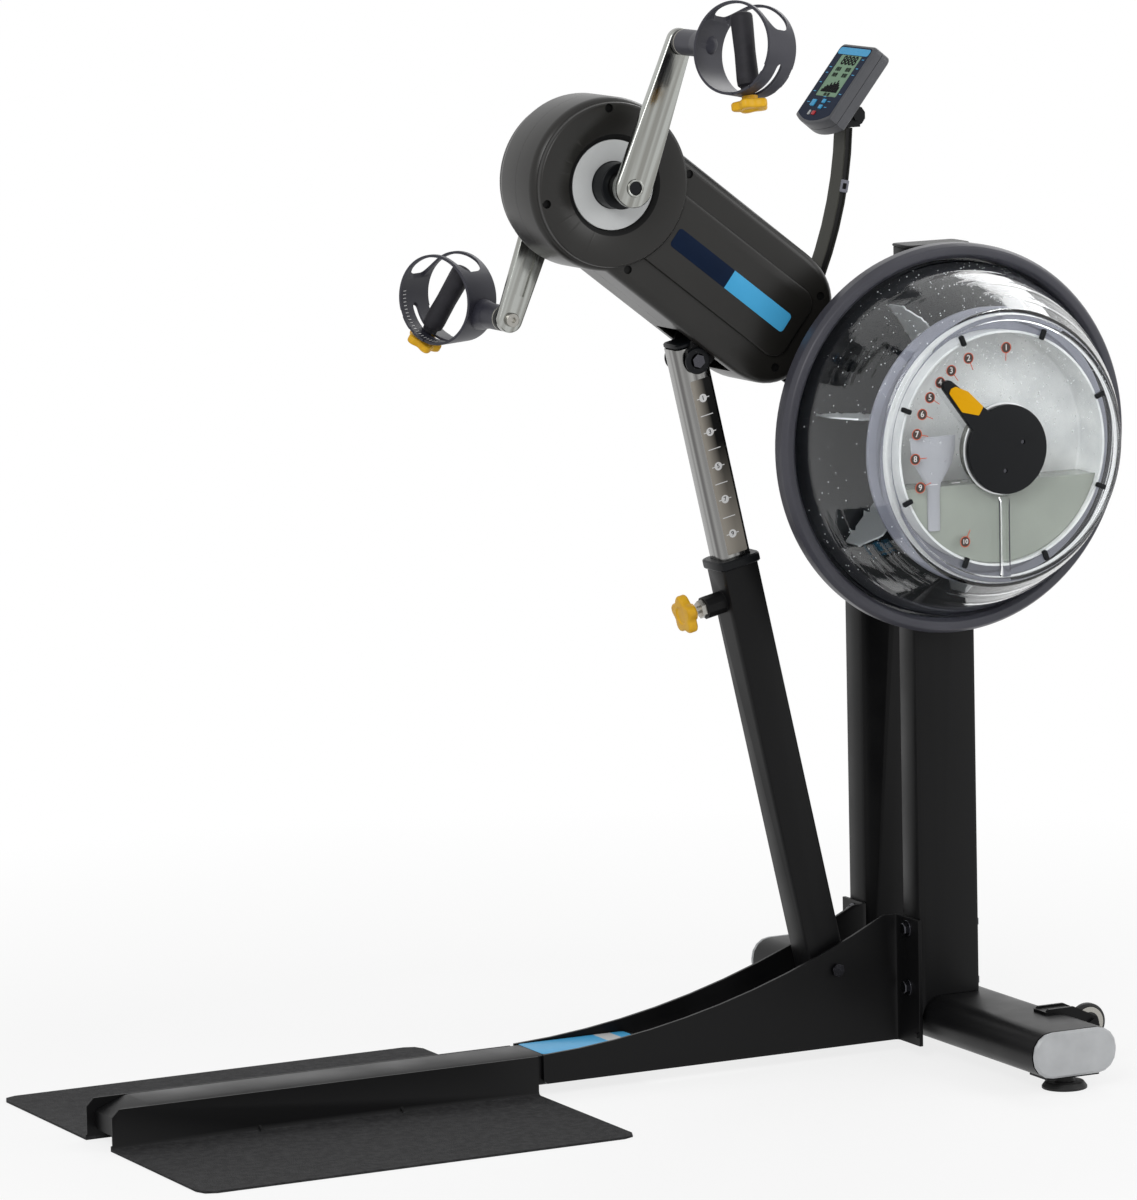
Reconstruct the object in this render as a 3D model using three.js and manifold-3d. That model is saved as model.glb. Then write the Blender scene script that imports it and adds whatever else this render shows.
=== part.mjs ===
// Arm ergometer with a fluid tank: frame, height leg, tilting head, cranks, guard rings, tank and console.
// Millimetres, +Z up. X runs from the user's end (negative) to the tank end, and -Y is the user's right.
import * as THREE from "three";
import { mergeVertices } from "three/addons/utils/BufferGeometryUtils.js";
import Module from "manifold-3d";

const wasm = await Module();
wasm.setup();

// Driving dimensions. The uprights' centre line is X = 0 and the floor is Z = 0.
const seatGap = 0.3; // between pieces that rest against each other
const runningGap = 0.4; // a shaft in its bore
const overrun = 1; // how far a cutter passes a face
const weld = 1; // how far joined stock runs into its neighbour
const sheet = 5; // frame plate
const tubeWall = 3;

const rail = { frontX: -1150, rearX: -405, halfWidth: 38.3, bottomZ: 13.5, topZ: 53.5, corner: 6 };
rail.noseRun = 44;
rail.noseDrop = 17;
const cheekInner = rail.halfWidth + seatGap;

const step = { frontX: -1163, rearX: -572, halfReach: 318, thickness: 3, corner: 20, wallDrop: 1 };
step.wallTop = rail.topZ - step.wallDrop;
step.wallFront = 2;
step.wallCorner = 10;
step.tabPlaces = [-963, -767];
step.tabSize = 7;
step.bend = 4;

// What stands between the uprights sets how far apart they are.
const headPlate = { inner: 41, spindleEnd: 50, tankEnd: 38, tubeRadius: 14, tubeShares: [0.3, 0.72] };
headPlate.outer = headPlate.inner + sheet;
const upright = { depth: 90, width: 45.8, headGap: 2.6, corner: 6, footZ: 50 };
upright.rightTopZ = 1052;
upright.leftTopZ = 945;
upright.innerY = headPlate.outer + upright.headGap;
upright.outerY = upright.innerY + upright.width;
upright.middleY = (upright.innerY + upright.outerY) / 2;
const uprightPlug = { lip: 4, lipOut: 1.5, depth: 22, wall: 3, hollowCorner: 1 };

const cheek = { frontX: -566, bottomZ: 16, frontTopZ: 54, rearTopX: -69, rearTopZ: 182, archRadius: 1195 };
cheek.bendRadius = 10;
cheek.flangeProud = 6.6;
cheek.flangeY = upright.outerY + cheek.flangeProud;
cheek.corner = 5;
const flangeBolt = { lowZ: 90, highZ: 167, radius: 8, head: 7 };
const flangeScrew = { fromEdge: 6, z: 30, radius: 4, head: 3 };

const stabiliser = { x: 19, halfY: 372, width: 120, height: 59, bottomZ: 20, corner: 27 };
stabiliser.capThickness = 8;
stabiliser.capPlug = 25;
stabiliser.capBevel = 3;
const foot = { fromEnd: 22, radius: 29, padHeight: 9, padEdge: 3, padSlope: 4.5, stemRadius: 6, stemTop: 46 };
foot.y = stabiliser.halfY - foot.fromEnd;
foot.plateX = 76;
foot.plateY = 2 * foot.fromEnd;
foot.plateZ = 3;
foot.hubRadius = 12;
foot.hubGap = 2;
foot.hubTop = stabiliser.bottomZ - foot.plateZ - foot.hubGap;
const wheelEar = { sideGap: 2, thickness: 4, boss: 11, topZ: 86, frontX: 34, bridgeRear: 76, axle: 5 };
wheelEar.head = 8;
wheelEar.headLength = 4;
const wheel = { x: 104, y: 264, z: 60, radius: 25, width: 18, hubRadius: 10, treadRound: 3 };
wheel.bore = wheelEar.axle + seatGap;
wheelEar.gap = wheel.width / 2 + wheelEar.sideGap;

const leg = { lower: [-140, 118], upper: [-318, 922], outerWidth: 52, outerWall: 3, sleeveWall: 1.4 };
leg.innerWidth = leg.outerWidth - 2 * (leg.outerWall + leg.sleeveWall + 2 * seatGap);
leg.outerFoot = 20; // outer tube below the lower pivot
leg.outerTop = 548; // from the lower pivot
leg.innerTop = 18; // inner tube above the upper pivot
leg.innerFoot = 255; // inner tube's low end from the lower pivot
leg.corner = 6;
leg.collarHeight = 12;
leg.collarOut = 4.5;
leg.collarInside = 40;
leg.capHeight = 7;
leg.edge = 2;
leg.bolt = 6;
leg.slotFront = 7.5;
leg.slotRear = 23;
leg.slotTop = 9;
const pullPin = { radius: 5, collar: 7.5, collarLength: 6, nut: 12, nutLength: 7, stem: 16 };
const pinBoss = { place: 505, radius: 15, length: 27, collarGap: 0.5 };
pinBoss.bore = pullPin.collar + pinBoss.collarGap;
const pullKnob = { radius: 26, lobes: 5, lobe: 2.8, thickness: 13, neck: 11, neckLength: 6, bevel: 2.5 };

// The head, in its own frame: x runs from the spindle to the tank shaft, z is square to it.
const tankShaft = { radius: 10, frontInset: 3, rearInset: 4.4 };
tankShaft.rear = upright.outerY - tankShaft.rearInset;
const bearingHouse = { radius: 29, outerY: 80 };
const crank = { length: 192, eye: 25, end: 17, eyeFrom: 97, from: 103, thickness: 12, edge: 1.6 };
crank.outer = crank.from + crank.thickness;
crank.angle = THREE.MathUtils.degToRad(21.1);
crank.plug = 10.5;
crank.plugOut = 1.2;
crank.pocket = 14;
crank.pocketDepth = 2.5;
crank.pocketEnds = [40, 160];
const spindle = { x: -446, z: 1155.6, radius: 12, halfLength: 108, collar: 20 };
spindle.collarFrom = bearingHouse.outerY + 2 * seatGap;
spindle.collarTo = crank.eyeFrom - seatGap;
const tankAxis = { x: 0, z: 808.4 };
const hub = { radius: 24, bearingRoom: 2.5 };
hub.bore = tankShaft.radius + hub.bearingRoom;
const lug = { thickness: 5.4, radius: 17, halfBase: 28, webTop: -32, webBottom: -42, bolt: 9, boltHead: 6 };
lug.inner = leg.innerWidth / 2 + 2 * seatGap;
lug.outer = lug.inner + lug.thickness;
const drive = { drivenRadius: 25, ratio: 2.5, flange: 3.5, sideGap: 0.5, width: 13, rim: 1.4 };
drive.radius = drive.drivenRadius * drive.ratio;
drive.to = headPlate.inner - drive.sideGap;
drive.from = drive.to - drive.width;
const belt = { thickness: 3, margin: 0.9, gap: 0.6 };

// Console arm, cut flat where it stands on the head's socket
const arm = { topX: -85.5, topZ: 1204, lean: 2.5, radius: 520, run: 258, width: 31, depth: 11, edge: 1 };
arm.steps = 8;
arm.channel = 2;
arm.channelWidth = 6.5;
const socket = { x: 345, z: 22, length: 40, height: 16 };

const ringPlate = { outer: 57, backGap: 0.5, thickness: 4.5, edge: 1 };
ringPlate.inner = bearingHouse.radius + runningGap;
const cover = { discRadius: 110, halfWidth: 90, length: 370, half: 50, wall: 3, edge: 13 };
cover.endStart = 285;
ringPlate.from = cover.half + ringPlate.backGap;
ringPlate.to = ringPlate.from + ringPlate.thickness;
cover.endHalf = 20;
cover.endControl = 360;
cover.faceDiscInset = 6;
cover.faceDisc = cover.discRadius - cover.faceDiscInset;
cover.faceDiscHeight = 9;
cover.faceDiscEdge = 4;
cover.panelHalf = 49;
cover.panelFront = -60;
cover.panelEnd = 330;
cover.panelHeight = 4;
cover.panelCorner = 22;
cover.ringGap = 1;
cover.bore = ringPlate.outer + cover.ringGap;
cover.recessSlope = 8;
cover.screwRadius = 5.5;
cover.screwDepth = 5;
cover.screwPlaces = [[-64, 73], [83, 73], [332, 55]];
cover.lugSlotReach = 48;
cover.lugGap = 2;
cover.lugSlotDepth = 24;
cover.armSlotFront = 33;
cover.armSlotRear = 7;
cover.armGap = 1.5;
cover.mouthDepth = 27;
cover.mouthGap = 3;

const handlePin = { head: 9, headLength: 6, radius: 6, bearing: 9.6, bearingFrom: 2.2, endGap: 1.8 };
handlePin.socket = 4;
handlePin.socketDepth = 4;
const grip = { length: 100, radius: 14, waist: 12.6, root: 10, rootLength: 8, shoulder: 1, round: 6 };
grip.stud = 4;
grip.studLength = 12;
const gripKnob = { radius: 24, lobes: 5, lobe: 3, thickness: 11, neck: 10, neckLength: 6, bevel: 2.5 };
gripKnob.bore = grip.stud + runningGap;
const handle = { sleeveRadius: 16.5, gap: 1.5, wallReach: 72, centre: [24, -123], turn: -65 };
handle.ringRadius = 58.5;
handle.ringWall = 3.4;
handle.ringWidth = 56;
handle.rim = 6;
handle.boreRadius = handlePin.bearing + runningGap;
handle.boreEnd = 58;
handle.capRadius = 14;
handle.capEnd = 76;
handle.capEdge = 3;
handle.window = { length: 96, width: handle.ringWidth - 2 * handle.rim, corner: 16, turn: 4 };
handle.slot = { length: 80, width: 10, corner: 4.9, turn: 35 };
handle.notch = { length: 9, depth: 1.5, height: 8, turns: [16, 43, 70] };
handlePin.end = handle.boreEnd - handlePin.endGap;
handlePin.bearingTo = handlePin.end - runningGap;
const rightSet = { roll: 11, lift: 0, grip: -18 };
const leftSet = { roll: 0, lift: 18, grip: -36 }; // this ring sits higher on its sleeve

// The tank turns its face to -Y. It stands on pads on the right upright.
const tank = { ringRadius: 250.7, ringInset: 19.4, backInset: 3.7, throatInset: 22.7, pad: 2.7 };
tank.flangeReach = 15;
tank.throat = tank.ringRadius - tank.throatInset;
tank.flange = tank.throat + tank.flangeReach;
tank.ringInner = tank.ringRadius - tank.ringInset;
tank.backRadius = tank.ringRadius - tank.backInset;
tank.padFace = upright.outerY + seatGap;
tank.backFace = tank.padFace + tank.pad;
tank.padSize = [80, 210];
tank.backWall = 4;
tank.ringLap = 8.9;
tank.ringDepth = 24.7;
tank.ringBack = tank.backFace + tank.ringLap;
tank.ringFront = tank.ringBack + tank.ringDepth;
tank.ringBevel = 4.8;
tank.ringOuterSlope = 8.2;
tank.ringInnerSlope = 6.2;
tank.flangeThickness = 3.2;
tank.wall = 3.5;
tank.throatSetback = 7;
tank.rimY = 257;
tank.rimHeight = 7;
tank.rimSetback = 11;
tank.faceY = tank.rimY - tank.rimHeight;
tank.noseY = tank.rimY - tank.rimSetback;
tank.noseRadius = 176;
tank.rimWidth = 6;
tank.rimOuter = tank.noseRadius - tank.rimWidth;
tank.rimInner = tank.rimOuter - tank.rimWidth;
tank.swell = 5;
tank.ribRadius = 5;
tank.ribGap = 3;
tank.clipCount = 8;
tank.clip = { length: 9, width: 4.5, height: 5, inset: 6 };
const impeller = { hub: 26, disc: 92, backGap: 10.6, length: 72, discThickness: 4, blades: 7, blade: 3.5 };
impeller.back = tank.backFace + tank.backWall + impeller.backGap;
impeller.front = impeller.back + impeller.length;
impeller.tip = 196;
impeller.frontTip = 176;
impeller.sweep = 46;
tankShaft.front = impeller.front - tankShaft.frontInset;
const reservoir = { radius: 150, backGap: 8, wall: 3, neck: 18 };
reservoir.back = impeller.front + reservoir.backGap;
const lever = { hub: 57, faceGap: 4, thickness: 8, reach: 120, root: 20, tip: 8, edge: 1.5 };
lever.stem = 12;
lever.stemDepth = 25;
lever.from = tank.faceY + lever.faceGap;
lever.to = lever.from + lever.thickness;
lever.stemEnd = tank.faceY - lever.stemDepth;
lever.angle = THREE.MathUtils.degToRad(134.5);
lever.screw = 3;
lever.screwPlaces = [[22, 8], [-4, -27]];
const flag = { thickness: 2, edge: 0.5, from: 60, to: 112, half: 12, lowHalf: 6, tipHalf: 5, shoulder: 96 };

const consoleCase = { forward: 21, rise: 46, tilt: 39, width: 92, top: 56, bottom: 57, sag: 11, depth: 28 };
consoleCase.edge = 4;
consoleCase.corner = 8;
consoleCase.ear = 11;
consoleCase.earHalf = 5.8;
consoleCase.seam = 0.8;
consoleCase.seamFrom = 13;
const yoke = { back: 11.5, rise: 15, radius: 13, earGap: 0.5, outer: 15, bolt: 4, boltHead: 7, boltOut: 20 };
yoke.x = arm.topX + yoke.back;
yoke.z = arm.topZ + yoke.rise;
yoke.inner = consoleCase.earHalf + yoke.earGap;
yoke.blockLength = 22;
yoke.blockHeight = 12;
consoleCase.x = yoke.x - consoleCase.forward;
consoleCase.z = yoke.z + consoleCase.rise;
const screen = { width: 53, height: 64, z: 6.5, recess: 2, corner: 2, thickness: 1.6 };
const key = { lift: 1.4, depth: 2.6, clearance: 0.35, corner: 1.2 };
key.places = {
  key_square: [-18, -37, 10, 10],
  key_up: [6, -33, 8, 6],
  key_down: [6, -42, 8, 6],
  key_white: [-12, -52, 4, 7],
  key_red: [-1, -52, 8, 6],
};

const sides = { fine: 28, ring: 24, smooth: 16, round: 10, small: 8, hex: 6 };
const arcSteps = { corner: 1, oval: 2, end: 3, sweep: 5, belt: 7 }; // an outline's arc has twice as many
const mergeDistance = 1e-4;

// Solids: a geometry becomes a solid, is joined or cut, and becomes a geometry again.
function solidOf(geometry) {
  const loose = geometry.index ? geometry.toNonIndexed() : geometry;
  const bare = new THREE.BufferGeometry();
  bare.setAttribute("position", loose.getAttribute("position").clone());
  const merged = mergeVertices(bare, mergeDistance);
  const corners = merged.getIndex().array;
  const triangles = [];
  for (let i = 0; i < corners.length; i += 3) {
    const [a, b, c] = [corners[i], corners[i + 1], corners[i + 2]];
    if (a !== b && b !== c && c !== a) triangles.push([a, b, c]);
  }
  const vertProperties = merged.getAttribute("position").array;
  const build = (list) =>
    new wasm.Manifold(new wasm.Mesh({ numProp: 3, vertProperties, triVerts: Uint32Array.from(list.flat()) }));
  const made = build(triangles);
  if (made.volume() > 0) return made;
  return build(triangles.map(([a, b, c]) => [a, c, b]));
}

function geometryOf(solid) {
  const mesh = solid.getMesh();
  const geometry = new THREE.BufferGeometry();
  geometry.setAttribute("position", new THREE.BufferAttribute(new Float32Array(mesh.vertProperties), 3));
  geometry.setIndex(new THREE.BufferAttribute(new Uint32Array(mesh.triVerts), 1));
  return geometry;
}

function join(...geometries) {
  return geometryOf(geometries.map(solidOf).reduce((whole, piece) => whole.add(piece)));
}

function cut(geometry, ...cutters) {
  return geometryOf(cutters.map(solidOf).reduce((rest, cutter) => rest.subtract(cutter), solidOf(geometry)));
}

function meet(...geometries) {
  return geometryOf(geometries.map(solidOf).reduce((whole, piece) => whole.intersect(piece)));
}

// The same piece on the other side of the middle plane.
function mirrored(geometry) {
  return geometryOf(solidOf(geometry.clone().scale(1, -1, 1)));
}

// Stock
function slab([x0, x1], [y0, y1], [z0, z1]) {
  const box = new THREE.BoxGeometry(x1 - x0, y1 - y0, z1 - z0);
  return box.translate((x0 + x1) / 2, (y0 + y1) / 2, (z0 + z1) / 2);
}

function rod(radius, y0, y1, x = 0, z = 0, count = sides.round) {
  return new THREE.CylinderGeometry(radius, radius, Math.abs(y1 - y0), count).translate(x, (y0 + y1) / 2, z);
}

function post(radius, z0, z1, x = 0, y = 0, count = sides.small) {
  const bar = new THREE.CylinderGeometry(radius, radius, Math.abs(z1 - z0), count);
  return bar.rotateX(Math.PI / 2).translate(x, y, (z0 + z1) / 2);
}

// A bore's flats clear the round that runs in it.
function clearOf(radius, count = sides.round) {
  return radius / Math.cos(Math.PI / count);
}

function bored(radius, y0, y1, x = 0, z = 0, count = sides.round) {
  return rod(clearOf(radius, count), y0, y1, x, z, count);
}

function turned(profile, count = sides.round) {
  return new THREE.LatheGeometry(profile.map(([r, y]) => new THREE.Vector2(r, y)), count);
}

function extruded(shape, length, edge = 0, curveSegments = arcSteps.corner) {
  const geometry = new THREE.ExtrudeGeometry(shape, {
    depth: length - 2 * edge,
    curveSegments,
    bevelEnabled: edge > 0,
    bevelThickness: edge,
    bevelSize: edge,
    bevelOffset: -edge,
    bevelSegments: 1,
  });
  return geometry.translate(0, 0, edge);
}

// A shape drawn in X and Z, given its thickness from y0 to y1.
function sideways(shape, y0, y1, edge = 0, curveSegments = arcSteps.corner) {
  return extruded(shape, y1 - y0, edge, curveSegments).rotateX(Math.PI / 2).translate(0, y1, 0);
}

// A shape drawn in Y and Z, drawn out from x0 to x1.
function lengthways(shape, x0, x1, edge = 0) {
  const turn = new THREE.Matrix4().makeBasis(
    new THREE.Vector3(0, 1, 0),
    new THREE.Vector3(0, 0, 1),
    new THREE.Vector3(1, 0, 0),
  );
  return extruded(shape, x1 - x0, edge).applyMatrix4(turn).translate(x0, 0, 0);
}

// A shape drawn in X and Y, raised from z0 to z1.
function raised(shape, z0, z1, edge = 0, curveSegments = arcSteps.corner) {
  return extruded(shape, z1 - z0, edge, curveSegments).translate(0, 0, z0);
}

// Outlines
function outline(points) {
  return new THREE.Shape(points.map(([x, y]) => new THREE.Vector2(x, y)));
}

function roundedBox(width, height, corner, x = 0, y = 0) {
  const [w, h] = [width / 2, height / 2];
  const shape = new THREE.Shape();
  shape.absarc(x + w - corner, y + h - corner, corner, 0, Math.PI / 2);
  shape.absarc(x - w + corner, y + h - corner, corner, Math.PI / 2, Math.PI);
  shape.absarc(x - w + corner, y - h + corner, corner, Math.PI, 1.5 * Math.PI);
  shape.absarc(x + w - corner, y - h + corner, corner, 1.5 * Math.PI, 2 * Math.PI);
  shape.closePath();
  return shape;
}

// Two circles and their common tangents: a strap of the given length between centres.
function strap(first, second, length) {
  const lean = Math.acos((first - second) / length);
  const shape = new THREE.Shape();
  shape.absarc(0, 0, first, lean, 2 * Math.PI - lean);
  shape.absarc(length, 0, second, -lean, lean);
  shape.closePath();
  return shape;
}

function lobed(radius, lobe, count) {
  const steps = 4 * count;
  const points = Array.from({ length: steps }, (_, i) => {
    const angle = (2 * Math.PI * i) / steps;
    const r = radius - lobe * (1 - Math.cos(count * angle));
    return [r * Math.cos(angle), r * Math.sin(angle)];
  });
  return outline(points);
}

function holeIn(shape, inner) {
  shape.holes.push(inner);
  return shape;
}

// The scene
const ergometer = new THREE.Group();
ergometer.name = "arm_ergometer";
const lengthwiseCentre = (step.frontX + tank.ringRadius) / 2;
ergometer.position.x = -lengthwiseCentre;

const paints = {
  frame: [0x1c1c1d, 0.45, 0.2],
  plate: [0x232323, 0.9, 0],
  moulding: [0x3b3937, 0.5, 0],
  slate: [0x3d3c46, 0.5, 0],
  rubber: [0x161616, 0.8, 0],
  chrome: [0xc8c8c6, 0.25, 1],
  silver: [0xb4b6b8, 0.4, 0.9],
  pale: [0xd5d8da, 0.5, 0.1],
  yellow: [0xdba62b, 0.45, 0],
  clear: [0xdfe6e8, 0.1, 0],
  black: [0x111214, 0.5, 0],
  blue: [0x1f3a5c, 0.4, 0],
  sky: [0x4fb3e3, 0.4, 0],
  red: [0xc8202c, 0.4, 0],
  glass: [0x9fb8a4, 0.2, 0],
};

function add(name, geometry, paint, parent = ergometer) {
  const [color, roughness, metalness] = paints[paint];
  const mesh = new THREE.Mesh(geometry, new THREE.MeshStandardMaterial({ color, roughness, metalness }));
  mesh.name = name;
  parent.add(mesh);
  return mesh;
}

// The user's right is -Y, so right-hand geometry is drawn there and mirrored for the left.
function addPair(name, geometry, paint, parent = ergometer) {
  add(name + "_right", geometry, paint, parent);
  add(name + "_left", mirrored(geometry), paint, parent);
}

// Floor frame
function railTube() {
  const height = rail.topZ - rail.bottomZ;
  const middle = (rail.topZ + rail.bottomZ) / 2;
  const section = roundedBox(2 * rail.halfWidth, height, rail.corner, 0, middle);
  const outside = lengthways(section, rail.frontX, rail.rearX);
  const inner = rail.corner - tubeWall;
  const bore = lengthways(
    roundedBox(2 * (rail.halfWidth - tubeWall), height - 2 * tubeWall, inner, 0, middle),
    rail.frontX + 2 * rail.noseRun,
    rail.rearX + overrun,
  );
  const nose = outline([
    [rail.frontX - overrun, rail.topZ - rail.noseDrop],
    [rail.frontX, rail.topZ - rail.noseDrop],
    [rail.frontX + rail.noseRun, rail.topZ],
    [rail.frontX + rail.noseRun, rail.topZ + overrun],
    [rail.frontX - overrun, rail.topZ + overrun],
  ]);
  const across = rail.halfWidth + overrun;
  return cut(outside, bore, sideways(nose, -across, across));
}

function stepPlate() {
  const wallOuter = rail.halfWidth + seatGap + step.thickness;
  const wallInner = rail.halfWidth + seatGap;
  const section = new THREE.Shape();
  section.moveTo(-wallInner, 0);
  section.lineTo(-wallInner, step.wallTop);
  section.lineTo(-wallOuter, step.wallTop);
  section.lineTo(-wallOuter, step.thickness + step.bend);
  section.absarc(-wallOuter - step.bend, step.thickness + step.bend, step.bend, 0, -Math.PI / 2, true);
  section.lineTo(-step.halfReach, step.thickness);
  section.lineTo(-step.halfReach, 0);
  section.closePath();
  const folded = lengthways(section, step.frontX, step.rearX);
  const plan = new THREE.Shape();
  plan.moveTo(step.frontX, 0);
  plan.lineTo(step.rearX, 0);
  const cornerY = -step.halfReach + step.corner;
  plan.absarc(step.rearX - step.corner, cornerY, step.corner, 0, -Math.PI / 2, true);
  plan.absarc(step.frontX + step.corner, cornerY, step.corner, -Math.PI / 2, -Math.PI, true);
  plan.closePath();
  const front = step.frontX + step.wallFront;
  const wallCut = outline([
    [step.frontX - overrun, step.thickness + step.bend],
    [front, step.thickness + step.bend],
    [front, step.wallTop - step.wallCorner],
    [front + step.wallCorner, step.wallTop],
    [front + step.wallCorner, step.wallTop + overrun],
    [step.frontX - overrun, step.wallTop + overrun],
  ]);
  const trimmed = cut(
    meet(folded, raised(plan, -overrun, step.wallTop + overrun)),
    sideways(wallCut, -wallOuter - overrun, -wallInner + overrun),
  );
  const tabs = step.tabPlaces.map((x) => {
    const gusset = outline([
      [-wallOuter + weld, 0],
      [-wallOuter - step.tabSize, 0],
      [-wallOuter - step.tabSize, step.thickness + weld],
      [-wallOuter + weld, step.thickness + step.tabSize + weld],
    ]);
    return lengthways(gusset, x, x + step.thickness);
  });
  return join(trimmed, ...tabs);
}

const flangeBack = -upright.depth / 2 - seatGap;

function boltHead(boltX, y, z, out, radius, count) {
  const head = new THREE.CylinderGeometry(radius, radius, Math.abs(out) + weld, count).rotateZ(Math.PI / 2);
  return head.translate(boltX + (out - Math.sign(out) * weld) / 2, y, z);
}

function cheekPlate() {
  const outerFace = cheekInner + sheet;
  const { bendRadius, flangeY } = cheek;
  const plan = new THREE.Shape();
  plan.moveTo(cheek.frontX, -cheekInner);
  plan.lineTo(cheek.frontX, -outerFace);
  plan.lineTo(flangeBack - bendRadius, -outerFace);
  const [bendX, bendY] = [flangeBack - bendRadius, -outerFace - bendRadius + sheet];
  plan.absarc(bendX, bendY, bendRadius - sheet, Math.PI / 2, 0, true);
  plan.lineTo(flangeBack - sheet, -flangeY);
  plan.lineTo(flangeBack, -flangeY);
  plan.absarc(bendX, bendY, bendRadius, 0, Math.PI / 2);
  plan.closePath();
  const chord = new THREE.Vector2(cheek.rearTopX - cheek.frontX, cheek.rearTopZ - cheek.frontTopZ);
  const half = Math.asin(chord.length() / (2 * cheek.archRadius));
  const lean = chord.angle();
  const rise = cheek.archRadius * Math.cos(half);
  const archX = (cheek.rearTopX + cheek.frontX) / 2 - rise * Math.sin(lean);
  const archZ = (cheek.rearTopZ + cheek.frontTopZ) / 2 + rise * Math.cos(lean);
  const down = lean - Math.PI / 2;
  const side = new THREE.Shape();
  side.moveTo(cheek.frontX + cheek.corner, cheek.bottomZ);
  side.lineTo(0, cheek.bottomZ);
  side.lineTo(0, cheek.rearTopZ);
  side.absarc(archX, archZ, cheek.archRadius, down + half, down - half, true);
  side.lineTo(cheek.frontX, cheek.bottomZ + cheek.corner);
  side.closePath();
  const folded = raised(plan, cheek.bottomZ, cheek.rearTopZ + overrun);
  const plate = meet(folded, sideways(side, -flangeY - overrun, 0, 0, arcSteps.sweep));
  const face = flangeBack - sheet;
  const heads = [flangeBolt.lowZ, flangeBolt.highZ].map((z) =>
    boltHead(face, -upright.middleY, z, -flangeBolt.head, flangeBolt.radius, sides.hex),
  );
  const screwY = -flangeY + flangeScrew.fromEdge;
  const screw = boltHead(face, screwY, flangeScrew.z, -flangeScrew.head, flangeScrew.radius, sides.small);
  const pivotBore = bored(leg.bolt + runningGap, -flangeY, 0, ...leg.lower, sides.small);
  return cut(join(plate, ...heads, screw), pivotBore);
}

const stabiliserTop = stabiliser.bottomZ + stabiliser.height;
const stabiliserMiddle = stabiliser.bottomZ + stabiliser.height / 2;

function stabiliserOval(grow, y0, y1, edge = 0, curveSegments = arcSteps.oval) {
  const oval = roundedBox(
    stabiliser.width + 2 * grow,
    stabiliser.height + 2 * grow,
    stabiliser.corner + grow,
    stabiliser.x,
    stabiliserMiddle,
  );
  return sideways(oval, y0, y1, edge, curveSegments);
}

function stabiliserTube() {
  const { halfY } = stabiliser;
  const tube = stabiliserOval(0, -halfY, halfY);
  const bore = stabiliserOval(-tubeWall, -halfY - overrun, halfY + overrun, 0, arcSteps.corner);
  const plates = [-1, 1].map((s) =>
    slab(
      [stabiliser.x - foot.plateX / 2, stabiliser.x + foot.plateX / 2],
      [s * foot.y - foot.plateY / 2, s * foot.y + foot.plateY / 2],
      [stabiliser.bottomZ - foot.plateZ, stabiliser.bottomZ + weld],
    ),
  );
  const bores = [-1, 1].map((s) =>
    post(foot.stemRadius + overrun, 0, stabiliserMiddle, stabiliser.x, s * foot.y),
  );
  return cut(join(cut(tube, bore), ...plates, wheelEars(-1), wheelEars(1)), ...bores);
}

function wheelEars(s) {
  const side = new THREE.Shape();
  side.moveTo(wheelEar.frontX, stabiliserMiddle);
  side.lineTo(wheelEar.frontX, wheelEar.topZ - sheet);
  side.lineTo(wheelEar.frontX + sheet, wheelEar.topZ);
  side.lineTo(wheelEar.bridgeRear, wheelEar.topZ);
  side.absarc(wheel.x, wheel.z, wheelEar.boss, Math.PI / 3, -Math.PI / 2, true);
  side.lineTo(wheelEar.bridgeRear, stabiliserMiddle);
  side.closePath();
  const ear = (from) => sideways(side, from, from + wheelEar.thickness);
  const reach = wheelEar.gap + wheelEar.thickness;
  const middle = s * wheel.y;
  const bridge = slab(
    [wheelEar.frontX, wheelEar.bridgeRear],
    [middle - reach, middle + reach],
    [stabiliserTop - weld, stabiliserTop + wheelEar.thickness],
  );
  const axle = rod(wheelEar.axle, middle - reach, middle + reach, wheel.x, wheel.z, sides.small);
  const bolts = [-1, 1].map((end) =>
    rod(
      wheelEar.head,
      middle + end * (reach - weld),
      middle + end * (reach + wheelEar.headLength),
      wheel.x,
      wheel.z,
      sides.hex,
    ),
  );
  const ears = join(ear(middle - reach), ear(middle + wheelEar.gap), bridge, axle, ...bolts);
  return cut(ears, stabiliserOval(-weld, middle - 2 * reach, middle + 2 * reach));
}

function stabiliserPlug() {
  const { halfY, capThickness, capPlug, capBevel } = stabiliser;
  const plate = stabiliserOval(0, -halfY - seatGap - capThickness, -halfY - seatGap, capBevel);
  const plugEnd = -halfY + capPlug;
  const plug = stabiliserOval(-tubeWall - seatGap, -halfY - seatGap - weld, plugEnd, 0, arcSteps.corner);
  const hollow = stabiliserOval(-2 * tubeWall, -halfY, plugEnd + overrun, 0, arcSteps.corner);
  const stem = post(foot.stemRadius + 2 * overrun, 0, foot.stemTop + overrun, stabiliser.x, -foot.y);
  return cut(join(plate, plug), hollow, stem);
}

function levellingFoot() {
  const { radius, padHeight, padEdge, padSlope, hubRadius, hubTop, stemRadius, stemTop } = foot;
  const profile = [
    [0, 0],
    [radius, 0],
    [radius, padEdge],
    [radius - padSlope, padHeight],
    [hubRadius, padHeight],
    [hubRadius, hubTop],
    [stemRadius, hubTop],
    [stemRadius, stemTop],
    [0, stemTop],
  ];
  return turned(profile, sides.round).rotateX(Math.PI / 2).translate(stabiliser.x, -foot.y, 0);
}

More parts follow.
